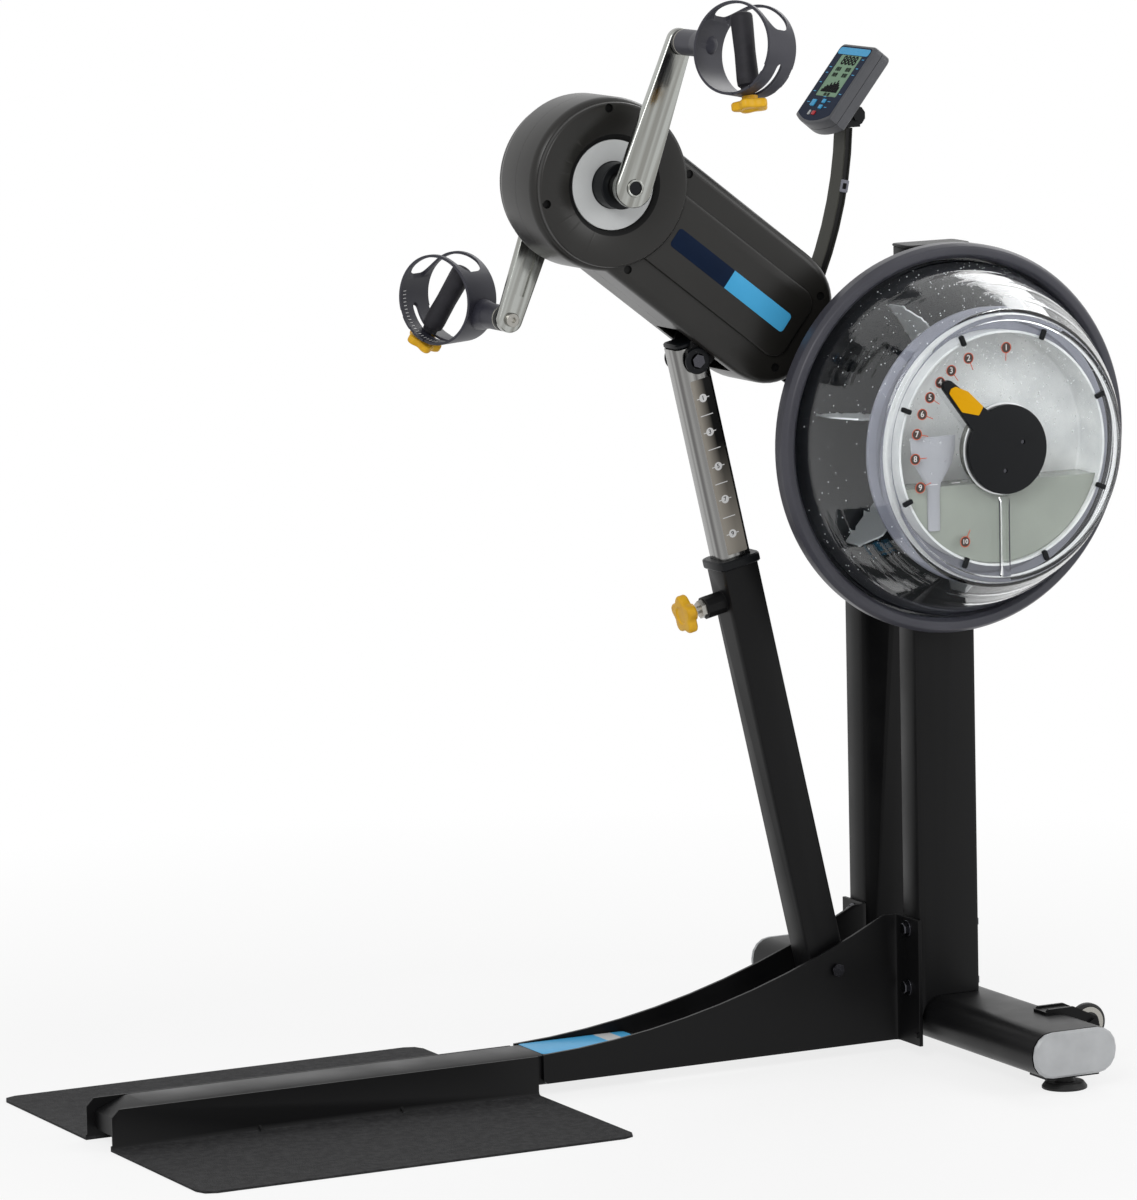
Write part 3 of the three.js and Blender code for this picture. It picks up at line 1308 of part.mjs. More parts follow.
// Console arm: bent along a circle in the middle plane, flat where it stands on the head frame's socket
function consoleArm() {
  const lean = THREE.MathUtils.degToRad(arm.lean);
  const place = (run) => {
    const angle = lean + run / arm.radius;
    const x = arm.topX - arm.radius * (Math.cos(lean) - Math.cos(angle));
    const z = arm.topZ - arm.radius * (Math.sin(angle) - Math.sin(lean));
    return [x, z, angle];
  };
  const edgeLine = (offset) =>
    Array.from({ length: arm.steps + 1 }, (_, i) => {
      const [x, z, angle] = place((arm.run * i) / arm.steps);
      return [x - offset * Math.cos(angle), z + offset * Math.sin(angle)];
    });
  const halfDepth = arm.depth / 2;
  const band = outline([...edgeLine(halfDepth), ...edgeLine(-halfDepth).reverse()]);
  const halfWidth = arm.width / 2;
  const channel = outline([...edgeLine(arm.channelWidth / 2), ...edgeLine(-arm.channelWidth / 2).reverse()]);
  const channels = [
    sideways(channel, -halfWidth - overrun, -halfWidth + arm.channel),
    sideways(channel, halfWidth - arm.channel, halfWidth + overrun),
  ];
  const bar = cut(sideways(band, -halfWidth, halfWidth, arm.edge), ...channels);
  const trim = slab(
    [socket.x - 2 * socket.length, socket.x + 2 * socket.length],
    [-arm.width, arm.width],
    [-cover.length, socket.z + socket.height / 2 + seatGap],
  );
  trim.rotateY(headSlope).translate(spindle.x, 0, spindle.z);
  return cut(bar, trim);
}

function consoleYoke() {
  const { radius, inner, outer, bolt, boltHead: head, boltOut, blockLength: long, blockHeight: high } = yoke;
  const discs = [-outer, inner].map((y) => rod(radius, y, y + outer - inner));
  const bottom = arm.topZ + 2 * seatGap;
  const base = slab([-long / 2, long / 2], [-outer, outer], [0, high]);
  base.translate(arm.topX + arm.depth / 2, 0, bottom);
  const pin = rod(bolt, -outer, outer, 0, 0, sides.small);
  const heads = [-1, 1].map((s) => rod(head, s * (outer - weld), s * boltOut, 0, 0, sides.small));
  const fork = join(...discs, pin, ...heads).translate(yoke.x, 0, yoke.z);
  const slotBottom = yoke.z - consoleCase.ear - 2 * seatGap;
  const slot = slab([yoke.x - 2 * radius, yoke.x + 2 * radius], [-inner, inner], [slotBottom, yoke.z]);
  return join(fork, cut(base, slot));
}

// Console case: drawn lying on its back, x to the user's right, y up the face, z out of the face
const tilt = THREE.MathUtils.degToRad(consoleCase.tilt);
const consoleFrame = new THREE.Group();
consoleFrame.applyMatrix4(
  new THREE.Matrix4()
    .makeBasis(
      new THREE.Vector3(0, -1, 0),
      new THREE.Vector3(Math.sin(tilt), 0, Math.cos(tilt)),
      new THREE.Vector3(-Math.cos(tilt), 0, Math.sin(tilt)),
    )
    .setPosition(consoleCase.x, 0, consoleCase.z),
);
ergometer.add(consoleFrame);

function caseOutline(inset) {
  const half = consoleCase.width / 2 - inset;
  const top = consoleCase.top - inset;
  const bottom = -consoleCase.bottom + inset;
  const corner = consoleCase.corner - inset / 2;
  const shape = new THREE.Shape();
  shape.absarc(half - corner, top - corner, corner, 0, Math.PI / 2);
  shape.absarc(-half + corner, top - corner, corner, Math.PI / 2, Math.PI);
  shape.lineTo(-half, bottom);
  shape.quadraticCurveTo(0, bottom - 2 * consoleCase.sag, half, bottom);
  shape.closePath();
  return shape;
}

function keyShape([x, y, width, height], grow) {
  return roundedBox(width + 2 * grow, height + 2 * grow, key.corner + grow, x, y);
}

function consoleCasePiece() {
  const { depth, edge, ear, earHalf, seam, seamFrom } = consoleCase;
  const body = raised(caseOutline(0), -depth, 0, edge);
  const seamCut = cut(
    raised(caseOutline(-overrun), -seamFrom - seam, -seamFrom),
    raised(caseOutline(seam), -seamFrom - 2 * seam, -seamFrom + seam),
  );
  const inFace = new THREE.Vector3(yoke.x, 0, yoke.z).applyMatrix4(consoleFrame.matrix.clone().invert());
  const lugDisc = new THREE.CylinderGeometry(ear, ear, 2 * earHalf, sides.round).rotateZ(Math.PI / 2);
  lugDisc.translate(0, inFace.y, inFace.z);
  const lugStem = slab([-earHalf, earHalf], [inFace.y - ear, inFace.y + ear], [inFace.z, -depth + weld]);
  const bore = bored(yoke.bolt + runningGap, -2 * earHalf, 2 * earHalf, 0, 0, sides.small);
  bore.rotateZ(Math.PI / 2).translate(0, inFace.y, inFace.z);
  const window = raised(
    roundedBox(screen.width + 2 * seatGap, screen.height + 2 * seatGap, screen.corner, 0, screen.z),
    -screen.recess,
    overrun,
  );
  const keyWells = Object.values(key.places).map((place) =>
    raised(keyShape(place, key.clearance), -key.depth, overrun),
  );
  return cut(join(body, lugDisc, lugStem), seamCut, bore, window, ...keyWells);
}

add("console_arm", consoleArm(), "moulding");
add("console_yoke", consoleYoke(), "black");
add("console_case", consoleCasePiece(), "blue", consoleFrame);
const screenBack = -screen.recess + seatGap;
const screenShape = roundedBox(screen.width, screen.height, screen.corner, 0, screen.z);
add("console_screen", raised(screenShape, screenBack, screenBack + screen.thickness), "glass", consoleFrame);
const keyPaints = { key_square: "sky", key_up: "sky", key_down: "sky", key_white: "pale", key_red: "red" };
for (const [name, place] of Object.entries(key.places)) {
  const bottom = -key.depth + key.lift;
  add(name, raised(keyShape(place, 0), bottom, bottom + key.depth), keyPaints[name], consoleFrame);
}

// Every mesh leaves as one clean closed solid.
ergometer.traverse((object) => {
  if (object.isMesh) object.geometry = geometryOf(solidOf(object.geometry));
});

export default ergometer;
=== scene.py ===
# %% [markdown]
# # Arm ergometer with a fluid tank
# A machine that is cranked by hand. A paddle wheel turns in a tank of water, and the water is the load.
# The CAD model gives every size and place. This lesson gives the machine its surfaces, and makes the round
# and moulded pieces again with finer curves than the CAD model holds. Plain steel pieces stay as they are
# and only get a finish. Everything is in metres, +Z is up, and the user stands at -X and faces +X.

# %% Load the frame
import math
import random

import bmesh
import bpy
from mathutils import Matrix, Vector


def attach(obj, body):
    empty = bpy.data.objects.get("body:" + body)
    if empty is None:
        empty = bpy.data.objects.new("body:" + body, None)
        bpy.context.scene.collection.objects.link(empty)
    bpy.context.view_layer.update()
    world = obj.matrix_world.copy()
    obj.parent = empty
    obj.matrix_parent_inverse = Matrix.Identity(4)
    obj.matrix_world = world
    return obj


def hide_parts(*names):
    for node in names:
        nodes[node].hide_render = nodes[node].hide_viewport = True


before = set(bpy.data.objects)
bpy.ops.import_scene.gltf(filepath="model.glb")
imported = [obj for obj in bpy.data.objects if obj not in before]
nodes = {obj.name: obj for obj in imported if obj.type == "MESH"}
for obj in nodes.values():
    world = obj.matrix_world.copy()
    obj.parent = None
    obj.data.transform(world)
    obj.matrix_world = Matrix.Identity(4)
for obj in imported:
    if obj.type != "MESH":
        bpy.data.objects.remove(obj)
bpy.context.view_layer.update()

# %% [markdown]
# ## The camera
# The photograph is taken from the user's right, a little above the spindle, with a long lens, so that the
# uprights stay almost parallel. A camera could be aimed by eye, but a small error in its direction shows at
# once in the tank's circles. So the three directions below, the camera's own right, up and back, were worked
# out from the floor plates, the uprights and the tank, and its matrix is put together from them.

# %% Place the camera
camera_place = Vector((-4.17551, -8.25949, 1.99319))
camera_right = Vector((0.8924112, -0.45068527, -0.02202375))
camera_up = Vector((0.08541876, 0.12081004, 0.98899372))
camera_back = Vector((-0.44306421, -0.88447031, 0.14630921))

lens = bpy.data.cameras.new("photo_lens")
lens.lens = 220.97
lens.sensor_width = 36
lens.sensor_fit = "AUTO"
lens.clip_start = 0.1
lens.clip_end = 200
camera = bpy.data.objects.new("photo_camera", lens)
camera_turn = Matrix((camera_right, camera_up, camera_back)).transposed().to_4x4()
camera.matrix_world = Matrix.Translation(camera_place) @ camera_turn
bpy.context.scene.collection.objects.link(camera)
bpy.context.scene.camera = camera
print("camera stands", round(camera_place.length, 2), "m from the middle of the floor")

# %% [markdown]
# ## Colours and nodes
# Paint charts and photographs give colours as sRGB hex values, and Blender's shaders work in linear light,
# so one function turns the first into the second. Another adds a node with its settings and links. Every
# material starts the same way, from a base colour, a roughness and an index of refraction, and most of them
# get a colour that drifts a little and a bump from the texture of their surface. Image textures could do
# this too, but nodes have no seams, need no unwrapping, and take their scales straight from millimetres.

# %% Helpers for materials
MM = 0.001


def linear(hex_colour):
    shares = [int(hex_colour[i : i + 2], 16) / 255 for i in (1, 3, 5)]
    return (*[s / 12.92 if s <= 0.04045 else ((s + 0.055) / 1.055) ** 2.4 for s in shares], 1.0)


def add_node(tree, kind, inputs=None, **settings):
    made = tree.nodes.new(kind)
    for name, value in settings.items():
        setattr(made, name, value)
    for socket, value in (inputs or {}).items():
        if isinstance(value, bpy.types.NodeSocket):
            tree.links.new(value, made.inputs[socket])
        else:
            made.inputs[socket].default_value = value
    return made


def start_material(name, base, roughness, metallic=0.0, ior=1.5, **sockets):
    material = bpy.data.materials.new(name)
    material.use_nodes = True
    tree = material.node_tree
    shader = tree.nodes["Principled BSDF"]
    settings = {"Base Color": linear(base), "Roughness": roughness, "Metallic": metallic, "IOR": ior}
    settings.update({socket.replace("_", " "): value for socket, value in sockets.items()})
    for socket, value in settings.items():
        shader.inputs[socket].default_value = value
    material.diffuse_color = linear(base)
    place = add_node(tree, "ShaderNodeTexCoord").outputs["Object"]
    return material, tree, shader, place


def spread(tree, value, low, high, from_low=0.3, from_high=0.7):
    """Stretches a texture's middle range over low to high."""
    settings = {"Value": value, "From Min": from_low, "From Max": from_high, "To Min": low, "To Max": high}
    return add_node(tree, "ShaderNodeMapRange", settings).outputs["Result"]


def mixed(tree, share, first, second):
    settings = {"Factor": share, 6: first, 7: second}
    return add_node(tree, "ShaderNodeMix", settings, data_type="RGBA").outputs[2]


def noise(tree, place, size_mm, detail=2.0):
    settings = {"Vector": place, "Scale": 1 / (size_mm * MM), "Detail": detail}
    return add_node(tree, "ShaderNodeTexNoise", settings).outputs["Fac"]


def raise_bumps(tree, shader, height, depth_mm, strength=0.6):
    bump = add_node(tree, "ShaderNodeBump", {"Height": height, "Distance": depth_mm * MM, "Strength": strength})
    tree.links.new(bump.outputs["Normal"], shader.inputs["Normal"])


print("mid grey #808080 is", round(linear("#808080")[0], 4), "in linear light")

# %% [markdown]
# ## Powder-coated steel
# The frame is steel tube and plate under a satin black polyester powder coat. The powder melts in the oven
# and sets with a soft orange peel, bumps about 1.5 mm apart, which breaks up the edge of each reflection.
# One flat black would look like paper. So a noise at that spacing drives the bump, a wide noise varies the
# gloss as handling does, and the coat is a little thinner and greyer along edges, where a Bevel node finds
# them without any painting by hand.

# %% Satin black powder coat
def edge_wear(tree, radius, strength):
    """0 on flat faces, rising to strength within radius of an edge."""
    rounded_normal = add_node(tree, "ShaderNodeBevel", {"Radius": radius}, samples=4).outputs["Normal"]
    true_normal = add_node(tree, "ShaderNodeNewGeometry").outputs["True Normal"]
    settings = {0: rounded_normal, 1: true_normal}
    flatness = add_node(tree, "ShaderNodeVectorMath", settings, operation="DOT_PRODUCT").outputs["Value"]
    return spread(tree, flatness, strength, 0.0, 0.8, 0.99)


def powder_coat(name, base, edge, roughness, peel_mm, depth_mm):
    material, tree, shader, place = start_material(name, base, roughness, Specular_IOR_Level=0.16)
    gloss = spread(tree, noise(tree, place, 90, 3.0), roughness - 0.05, roughness + 0.07)
    tree.links.new(gloss, shader.inputs["Roughness"])
    worn = edge_wear(tree, 1.2 * MM, 0.5)
    tree.links.new(mixed(tree, worn, linear(base), linear(edge)), shader.inputs["Base Color"])
    raise_bumps(tree, shader, noise(tree, place, peel_mm, 1.0), depth_mm)
    return material


satin_black = powder_coat("satin_black_powder_coat", "#0c0c0d", "#242425", 0.38, peel_mm=1.5, depth_mm=0.05)
print("orange peel every 1.5 mm:", satin_black.name)

# %% [markdown]
# ## The non-slip step coat
# The two step plates have upright walls in the same smooth black as the frame, and a coarse textured coat
# where the feet stand, with hard grains up to 1 mm across. Seen closely it is a field of small bumps on a
# mat dark grey ground. The grains could be scattered as small meshes, but thousands of them would cost more
# than they show. So a Voronoi cell gives each grain, and the height above the floor tells the flat top, which
# lies under 5 mm, from the walls.

# %% Grained step coat
def grained_step_coat(top_mm=5.0):
    material, tree, shader, place = start_material(
        "textured_black_step_coat", "#29292a", 0.8, Specular_IOR_Level=0.18
    )
    grain_mm = 2.2  # real grains are up to 1 mm across, drawn coarser so that they show
    settings = {"Vector": place, "Scale": 1 / (grain_mm * MM)}
    grain = add_node(tree, "ShaderNodeTexVoronoi", settings, feature="F1").outputs["Distance"]
    height = spread(tree, grain, 1.0, 0.0, 0.0, 0.6)
    patches = spread(tree, noise(tree, place, 9), 0.0, 1.0, 0.35, 0.7)
    ground = mixed(tree, patches, linear("#252526"), linear("#353536"))
    speck = spread(tree, grain, 0.35, 0.0, 0.0, 0.25)
    grained = mixed(tree, speck, ground, linear("#5a5a5b"))
    up = add_node(tree, "ShaderNodeSeparateXYZ", {"Vector": place}).outputs["Z"]
    wall = spread(tree, up, 0.0, 1.0, (top_mm - 1) * MM, top_mm * MM)
    tree.links.new(mixed(tree, wall, grained, linear("#0d0d0e")), shader.inputs["Base Color"])
    tree.links.new(spread(tree, wall, 0.82, 0.4, 0.0, 1.0), shader.inputs["Roughness"])
    flat = spread(tree, wall, 1.0, 0.0, 0.0, 1.0)
    bumps = add_node(tree, "ShaderNodeMath", {0: height, 1: flat}, operation="MULTIPLY").outputs[0]
    raise_bumps(tree, shader, bumps, 0.5, 0.8)
    return material


step_coat = grained_step_coat()
print("grains every 2.2 mm, drawn coarser than the real 1 mm so that they show:", step_coat.name)

# %% [markdown]
# ## Moulded plastics
# The head shroud is injection-moulded ABS from a spark-eroded mould: a fine even pebble, about 0.8 mm, that
# gives a soft sheen with no sharp reflections. The guard rings and the tank ring are glass-filled nylon in a
# slate grey with a hint of purple. Each could have its own node tree, but the real ones differ only in
# colour, gloss and mould texture, so one function makes them all. Two copies are painted light and shade:
# the tank ring's nylon is lighter and glossier than the guard rings' as painted light, and a darker, less
# glossy copy of the shroud's ABS is painted shade in its cone and screw pockets. Dark plastics get a low
# specular level, which keeps their black deep under a white studio.

# %% ABS and nylon mouldings
def moulded_plastic(name, base, shade, roughness, pebble_mm=0.8, depth_mm=0.03, drift_mm=60, level=0.4):
    material, tree, shader, place = start_material(name, base, roughness, Specular_IOR_Level=level)
    settings = {"Vector": place, "Scale": 1 / (pebble_mm * MM)}
    pebble = add_node(tree, "ShaderNodeTexVoronoi", settings, feature="SMOOTH_F1").outputs["Distance"]
    raise_bumps(tree, shader, pebble, depth_mm, 0.5)
    share = spread(tree, noise(tree, place, drift_mm, 4.0), 0.0, 1.0)
    tree.links.new(mixed(tree, share, linear(shade), linear(base)), shader.inputs["Base Color"])
    return material


charcoal_abs = moulded_plastic("charcoal_moulded_abs", "#22211f", "#1e1d1b", 0.31, depth_mm=0.03, level=0.34)
# A darker, less glossy copy of the shroud's ABS, used as painted shade in its cone and screw pockets.
painted_shade_recess_abs = moulded_plastic("painted_shade_recess_abs", "#0f0f0f", "#0c0c0c", 0.5, depth_mm=0.04, level=0.15)
# A lighter, glossier copy of the slate nylon below, used as painted light on the tank ring.
painted_light_ring_nylon = moulded_plastic("slate_ring_nylon", "#43434b", "#3b3b43", 0.38, 0.7, 0.03)
slate_nylon = moulded_plastic("slate_glass_filled_nylon", "#31313b", "#2c2c35", 0.45, 0.7, 0.04)
case_abs = moulded_plastic("grey_case_abs", "#5a5b5f", "#4f5054", 0.40, 0.6, 0.04, level=0.3)
black_nylon = moulded_plastic("black_moulded_nylon", "#0f1114", "#0b0d10", 0.36, 0.7, 0.02, level=0.18)
pale_abs = moulded_plastic("pale_grey_satin_abs", "#cdcfcf", "#c2c4c4", 0.38, 0.9, 0.02)
yellow_nylon = moulded_plastic("yellow_moulded_nylon", "#efba2a", "#e2a91c", 0.40, 0.8, 0.03, drift_mm=14, level=0.25)
cap_silver = moulded_plastic("silver_painted_abs", "#c2c4c6", "#b4b6b8", 0.34, 0.6, 0.02, drift_mm=30)


def two_tone_arm():
    """The console arm is olive grey with black cable channels in both sides."""
    olive, channel_black = "#3a3a33", "#0d0d0d"
    material, tree, shader, place = start_material("olive_grey_arm_abs", olive, 0.5, Specular_IOR_Level=0.25)
    facing = add_node(tree, "ShaderNodeNewGeometry").outputs["True Normal"]
    across = add_node(tree, "ShaderNodeSeparateXYZ", {"Vector": facing}).outputs["Y"]
    side = add_node(tree, "ShaderNodeMath", {0: across}, operation="ABSOLUTE").outputs[0]
    share = spread(tree, side, 0.0, 1.0, 0.80, 0.95)
    tree.links.new(mixed(tree, share, linear(olive), linear(channel_black)), shader.inputs["Base Color"])
    raise_bumps(tree, shader, noise(tree, place, 0.8), 0.03)
    return material


arm_abs = two_tone_arm()
print("mouldings:", charcoal_abs.name, slate_nylon.name, yellow_nylon.name)

# %% [markdown]
# ## Rubber
# The grips are sleeves of closed-cell nitrile foam: mat, with pores about 0.6 mm across. The feet, wheels
# and tube plugs are plain rubber with a little bloom on them. The plastics' function would make them too
# clean and hard. A fine noise gives the pores, a patchy one the bloom, and a touch of sheen the soft edge.

# %% Nitrile foam and rubber
def rubber(name, base, bloom, roughness, pore_mm, depth_mm):
    material, tree, shader, place = start_material(
        name, base, roughness, ior=1.45, Sheen_Weight=0.05, Specular_IOR_Level=0.35
    )
    raise_bumps(tree, shader, noise(tree, place, pore_mm, 3.0), depth_mm, 0.7)
    share = spread(tree, noise(tree, place, 12, 5.0), 0.0, 1.0, 0.4, 0.75)
    tree.links.new(mixed(tree, share, linear(base), linear(bloom)), shader.inputs["Base Color"])
    return material


# Real pores are 0.6 mm wide. They are drawn twice as wide, because finer ones don't show.
grip_foam = rubber("dark_nitrile_foam", "#1f1e23", "#28272d", 0.62, pore_mm=1.2, depth_mm=0.15)
black_rubber = rubber("black_rubber", "#121212", "#1c1c1c", 0.50, pore_mm=1.5, depth_mm=0.05)
print("foam pores drawn at 1.2 mm, twice their real size:", grip_foam.name)

# %% [markdown]
# ## Bright metals
# The cranks are forged steel, polished and chromed: a bright mirror with very fine polishing lines along
# the arm. The inner leg tube is drawn steel with the same chrome, its lines running along the tube. Nuts,
# bolts and shafts are zinc plated, and the paddle wheel is stainless steel sheet with rolling lines. An
# anisotropic shader could smear the reflections, but it shows no single line. So a stretched noise draws the
# lines, and it drives roughness more than height, as polishing does. The pattern is turned first and then
# stretched, in two Mapping nodes, because one node would stretch it before it turns. On the cranks and the
# leg tube, a wider noise also paints long darker bands into the base colour: these are painted reflections,
# the dark and bright bands that a mirror picks up from its surroundings.

# %% Chrome, zinc and stainless steel
def bright_metal(name, base, roughness, lines_mm, stretch, turn=(0, 0, 0), drift=0.08, shade=None, reflection_band_mm=9):
    material, tree, shader, place = start_material(name, base, roughness, metallic=1.0)
    faced = add_node(tree, "ShaderNodeMapping", {"Vector": place, "Rotation": turn}).outputs["Vector"]
    along = add_node(tree, "ShaderNodeMapping", {"Vector": faced, "Scale": stretch}).outputs["Vector"]
    lines = noise(tree, along, lines_mm, 3.0)
    gloss = spread(tree, lines, max(roughness - drift, 0.02), roughness + drift)
    tree.links.new(gloss, shader.inputs["Roughness"])
    raise_bumps(tree, shader, lines, 0.01, 0.3)
    # Long darker bands of the shade colour in the base colour: painted reflections of darker surroundings, not a tint
    # of the metal.
    if shade:
        painted_reflection_bands = spread(tree, noise(tree, along, reflection_band_mm, 1.0), 0.0, 1.0, 0.35, 0.65)
        tree.links.new(mixed(tree, painted_reflection_bands, linear(shade), linear(base)), shader.inputs["Base Color"])
    return material


crank_angle = 21.1
leg_lean = math.degrees(math.atan2(178, 804))  # the leg runs 178 mm back over 804 mm of height
along_crank = (0, -math.radians(crank_angle), 0)
along_leg = (0, math.radians(leg_lean), 0)
# Real polishing lines are finer than 0.1 mm. Lines of 1 mm and more are the finest that show.
# The shade colours below paint darker reflection bands into the chrome.
crank_chrome = bright_metal(
    "polished_chromed_steel", "#adafab", 0.15, 1.0, (1, 1, 0.02), along_crank, shade="#8b8b86", reflection_band_mm=7
)
tube_chrome = bright_metal(
    "chromed_steel_tube", "#a2a2a0", 0.16, 1.4, (1, 1, 0.004), along_leg, shade="#626160", reflection_band_mm=12
)
zinc = bright_metal("zinc_plated_steel", "#a5a39d", 0.28, 0.8, (1, 1, 1))
black_oxide = bright_metal("black_oxide_steel", "#4c4c51", 0.2, 0.8, (1, 1, 1))
stainless = bright_metal("stainless_steel_sheet", "#eef0f1", 0.55, 1.6, (1, 0.05, 1))
print("polishing lines 1 mm apart, drawn coarse enough to show:", crank_chrome.name)

# %% [markdown]
# ## Smooth shading for CAD pieces
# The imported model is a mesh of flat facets, which would show as bands on its round parts. The plain steel
# pieces could be drawn again, but their shapes are right. So modifiers weld each one, melt coplanar triangles
# into whole faces, round every hard edge by a fraction of a millimetre so that it catches the light, and
# shade the rest smooth. The piece itself isn't moved or changed.

# %% Modifiers for the CAD pieces
def weld_and_shade_group(name, angle):
    group = bpy.data.node_groups.new(name, "GeometryNodeTree")
    group.interface.new_socket("Geometry", in_out="INPUT", socket_type="NodeSocketGeometry")
    group.interface.new_socket("Geometry", in_out="OUTPUT", socket_type="NodeSocketGeometry")
    entry = add_node(group, "NodeGroupInput").outputs[0]
    welded = add_node(group, "GeometryNodeMergeByDistance", {"Geometry": entry, "Distance": 0.005 * MM})
    smooth = add_node(group, "GeometryNodeSetShadeSmooth", {"Geometry": welded.outputs[0], "Shade Smooth": True})
    bend = add_node(group, "GeometryNodeInputMeshEdgeAngle").outputs["Unsigned Angle"]
    sharp = add_node(group, "FunctionNodeCompare", {0: bend, 1: math.radians(angle)}, operation="GREATER_THAN")
    settings = {"Geometry": smooth.outputs[0], "Selection": sharp.outputs[0], "Shade Smooth": False}
    edges = add_node(group, "GeometryNodeSetShadeSmooth", settings, domain="EDGE")
    add_node(group, "NodeGroupOutput", {0: edges.outputs[0]})
    return group


sharp_angle = 32  # degrees: a sharper bend is an edge, a flatter one is part of a curve
weld_and_shade = weld_and_shade_group("weld_and_shade", sharp_angle)


def finish_node(name, material, edge_mm=0.6):
    piece = nodes[name]
    shade = piece.modifiers.new("weld_and_shade", "NODES")
    shade.node_group = weld_and_shade
    melt = piece.modifiers.new("melt_flat_faces", "DECIMATE")
    melt.decimate_type = "DISSOLVE"
    melt.angle_limit = math.radians(0.5)
    edge = piece.modifiers.new("rounded_edges", "BEVEL")
    edge.width = edge_mm * MM
    edge.segments = 2
    edge.limit_method = "ANGLE"
    edge.angle_limit = math.radians(sharp_angle)
    edge.use_clamp_overlap = True
    edge.harden_normals = True
    piece.data.materials.clear()
    piece.data.materials.append(material)


def both_sides(*names):
    return [f"{name}_{side}" for name in names for side in ("right", "left")]


finishes = {
    satin_black: ["rail", *both_sides("cheek", "upright"), "rear_stabiliser", "leg_outer_tube", "head_frame"],
    step_coat: both_sides("step_plate"),
    arm_abs: ["console_arm"],
    black_nylon: ["leg_collar", "leg_top_cap", "drive_pulley", "driven_pulley", "console_yoke"],
    black_rubber: [*both_sides("upright_cap"), "drive_belt"],
    black_oxide: ["lower_pivot_bolt", "upper_pivot_bolt"],
    tube_chrome: ["leg_inner_tube"],
    zinc: ["pull_pin", "tank_shaft"],
    cap_silver: both_sides("stabiliser_cap"),
}
for material, names in finishes.items():
    for name in names:
        finish_node(name, material)
print(sum(len(names) for names in finishes.values()), "CAD pieces finished")

# %% [markdown]
# ## Drawing shapes
# The finer pieces could be modelled by hand with loop cuts and subdivision, but their sizes are known. So they
# are drawn in millimetres with a few operations that a workshop would know: an outline with rounded corners,
# a line turned round an axis, a slab with rounded rims, and joining and carving of closed shapes. Depth runs
# towards the viewer's side of the machine, which is -Y. Each finished piece is placed by the same frames as
# the CAD model, in metres, and rides on its body.

# %% Lines
def rounded(corners, closed=True, steps=4):
    """A line through corners (x, y) or (x, y, radius), with an arc at each corner that has a radius."""
    line = []
    for i, (x, y, *radius) in enumerate(corners):
        here = Vector((x, y))
        if not radius or (not closed and i in (0, len(corners) - 1)):
            line.append(here)
            continue
        before = Vector(corners[i - 1][:2]) - here
        after = Vector(corners[(i + 1) % len(corners)][:2]) - here
        reach = min(radius[0] / math.tan(before.angle(after) / 2), 0.49 * before.length, 0.49 * after.length)
        first, last = here + reach * before.normalized(), here + reach * after.normalized()
        for k in range(steps + 1):
            t = k / steps
            line.append((1 - t) ** 2 * first + 2 * t * (1 - t) * here + t**2 * last)
    return line


def arc(radius, start, end, steps, x=0.0, y=0.0):
    angles = [start + (end - start) * k / steps for k in range(steps + 1)]
    return [(x + radius * math.cos(a), y + radius * math.sin(a)) for a in angles]


def bow(start, control, end, steps):
    """Points of a quadratic curve, without its first."""
    start, control, end = Vector(start), Vector(control), Vector(end)
    shares = [k / steps for k in range(1, steps + 1)]
    return [tuple((1 - t) ** 2 * start + 2 * t * (1 - t) * control + t**2 * end) for t in shares]


print("a quarter circle in four steps has", len(arc(10, 0, math.pi / 2, 4)), "points")


# %% Outlines that can be drawn in by an inset
def round_box(width, height, corner, x=0.0, y=0.0, steps=6):
    def outline(inset):
        w, h, c = width / 2 - inset, height / 2 - inset, max(corner - inset, 0.05)
        middles = ((x + w - c, y + h - c), (x - w + c, y + h - c), (x - w + c, y - h + c), (x + w - c, y - h + c))
        quarter = math.pi / 2
        return [p for i, m in enumerate(middles) for p in arc(c, i * quarter, (i + 1) * quarter, steps, *m)]

    return outline


def strap(first, second, length, steps=24):
    """Two circles and their common tangents."""
    lean = math.acos((first - second) / length)

    def outline(inset):
        big = arc(first - inset, lean, 2 * math.pi - lean, 2 * steps)
        return big + arc(second - inset, -lean, lean, steps, length)

    return outline


def star(radius, lobe, lobes, steps=120):
    def outline(inset):
        angles = [2 * math.pi * k / steps for k in range(steps)]
        sizes = [radius - inset - lobe * (1 - math.cos(lobes * a)) for a in angles]
        return [(r * math.cos(a), r * math.sin(a)) for r, a in zip(sizes, angles)]

    return outline


def hexagon(radius):
    def outline(inset):
        angles = [math.pi * k / 3 for k in range(6)]
        return [((radius - inset) * math.cos(a), (radius - inset) * math.sin(a)) for a in angles]

    return outline


crank_reach = 192
print("the crank's outline has", len(strap(25, 17, crank_reach)(0)), "points")


# %% Solids
def skin(loops, joined=False, lids=True):
    """Covers a row of loops, each with the same number of points, with one closed skin."""
    shape = bmesh.new()
    rows = [[shape.verts.new(point) for point in loop] for loop in loops]
    following = rows[1:] + rows[:1] if joined else rows[1:]
    for row, after in zip(rows, following):
        for i in range(len(row)):
            j = (i + 1) % len(row)
            shape.faces.new((row[i], row[j], after[j], after[i]))
    if lids and not joined:
        shape.faces.new(rows[0][::-1])
        shape.faces.new(rows[-1])
    bmesh.ops.remove_doubles(shape, verts=shape.verts, dist=1e-4)
    bmesh.ops.recalc_face_normals(shape, faces=shape.faces)
    return shape


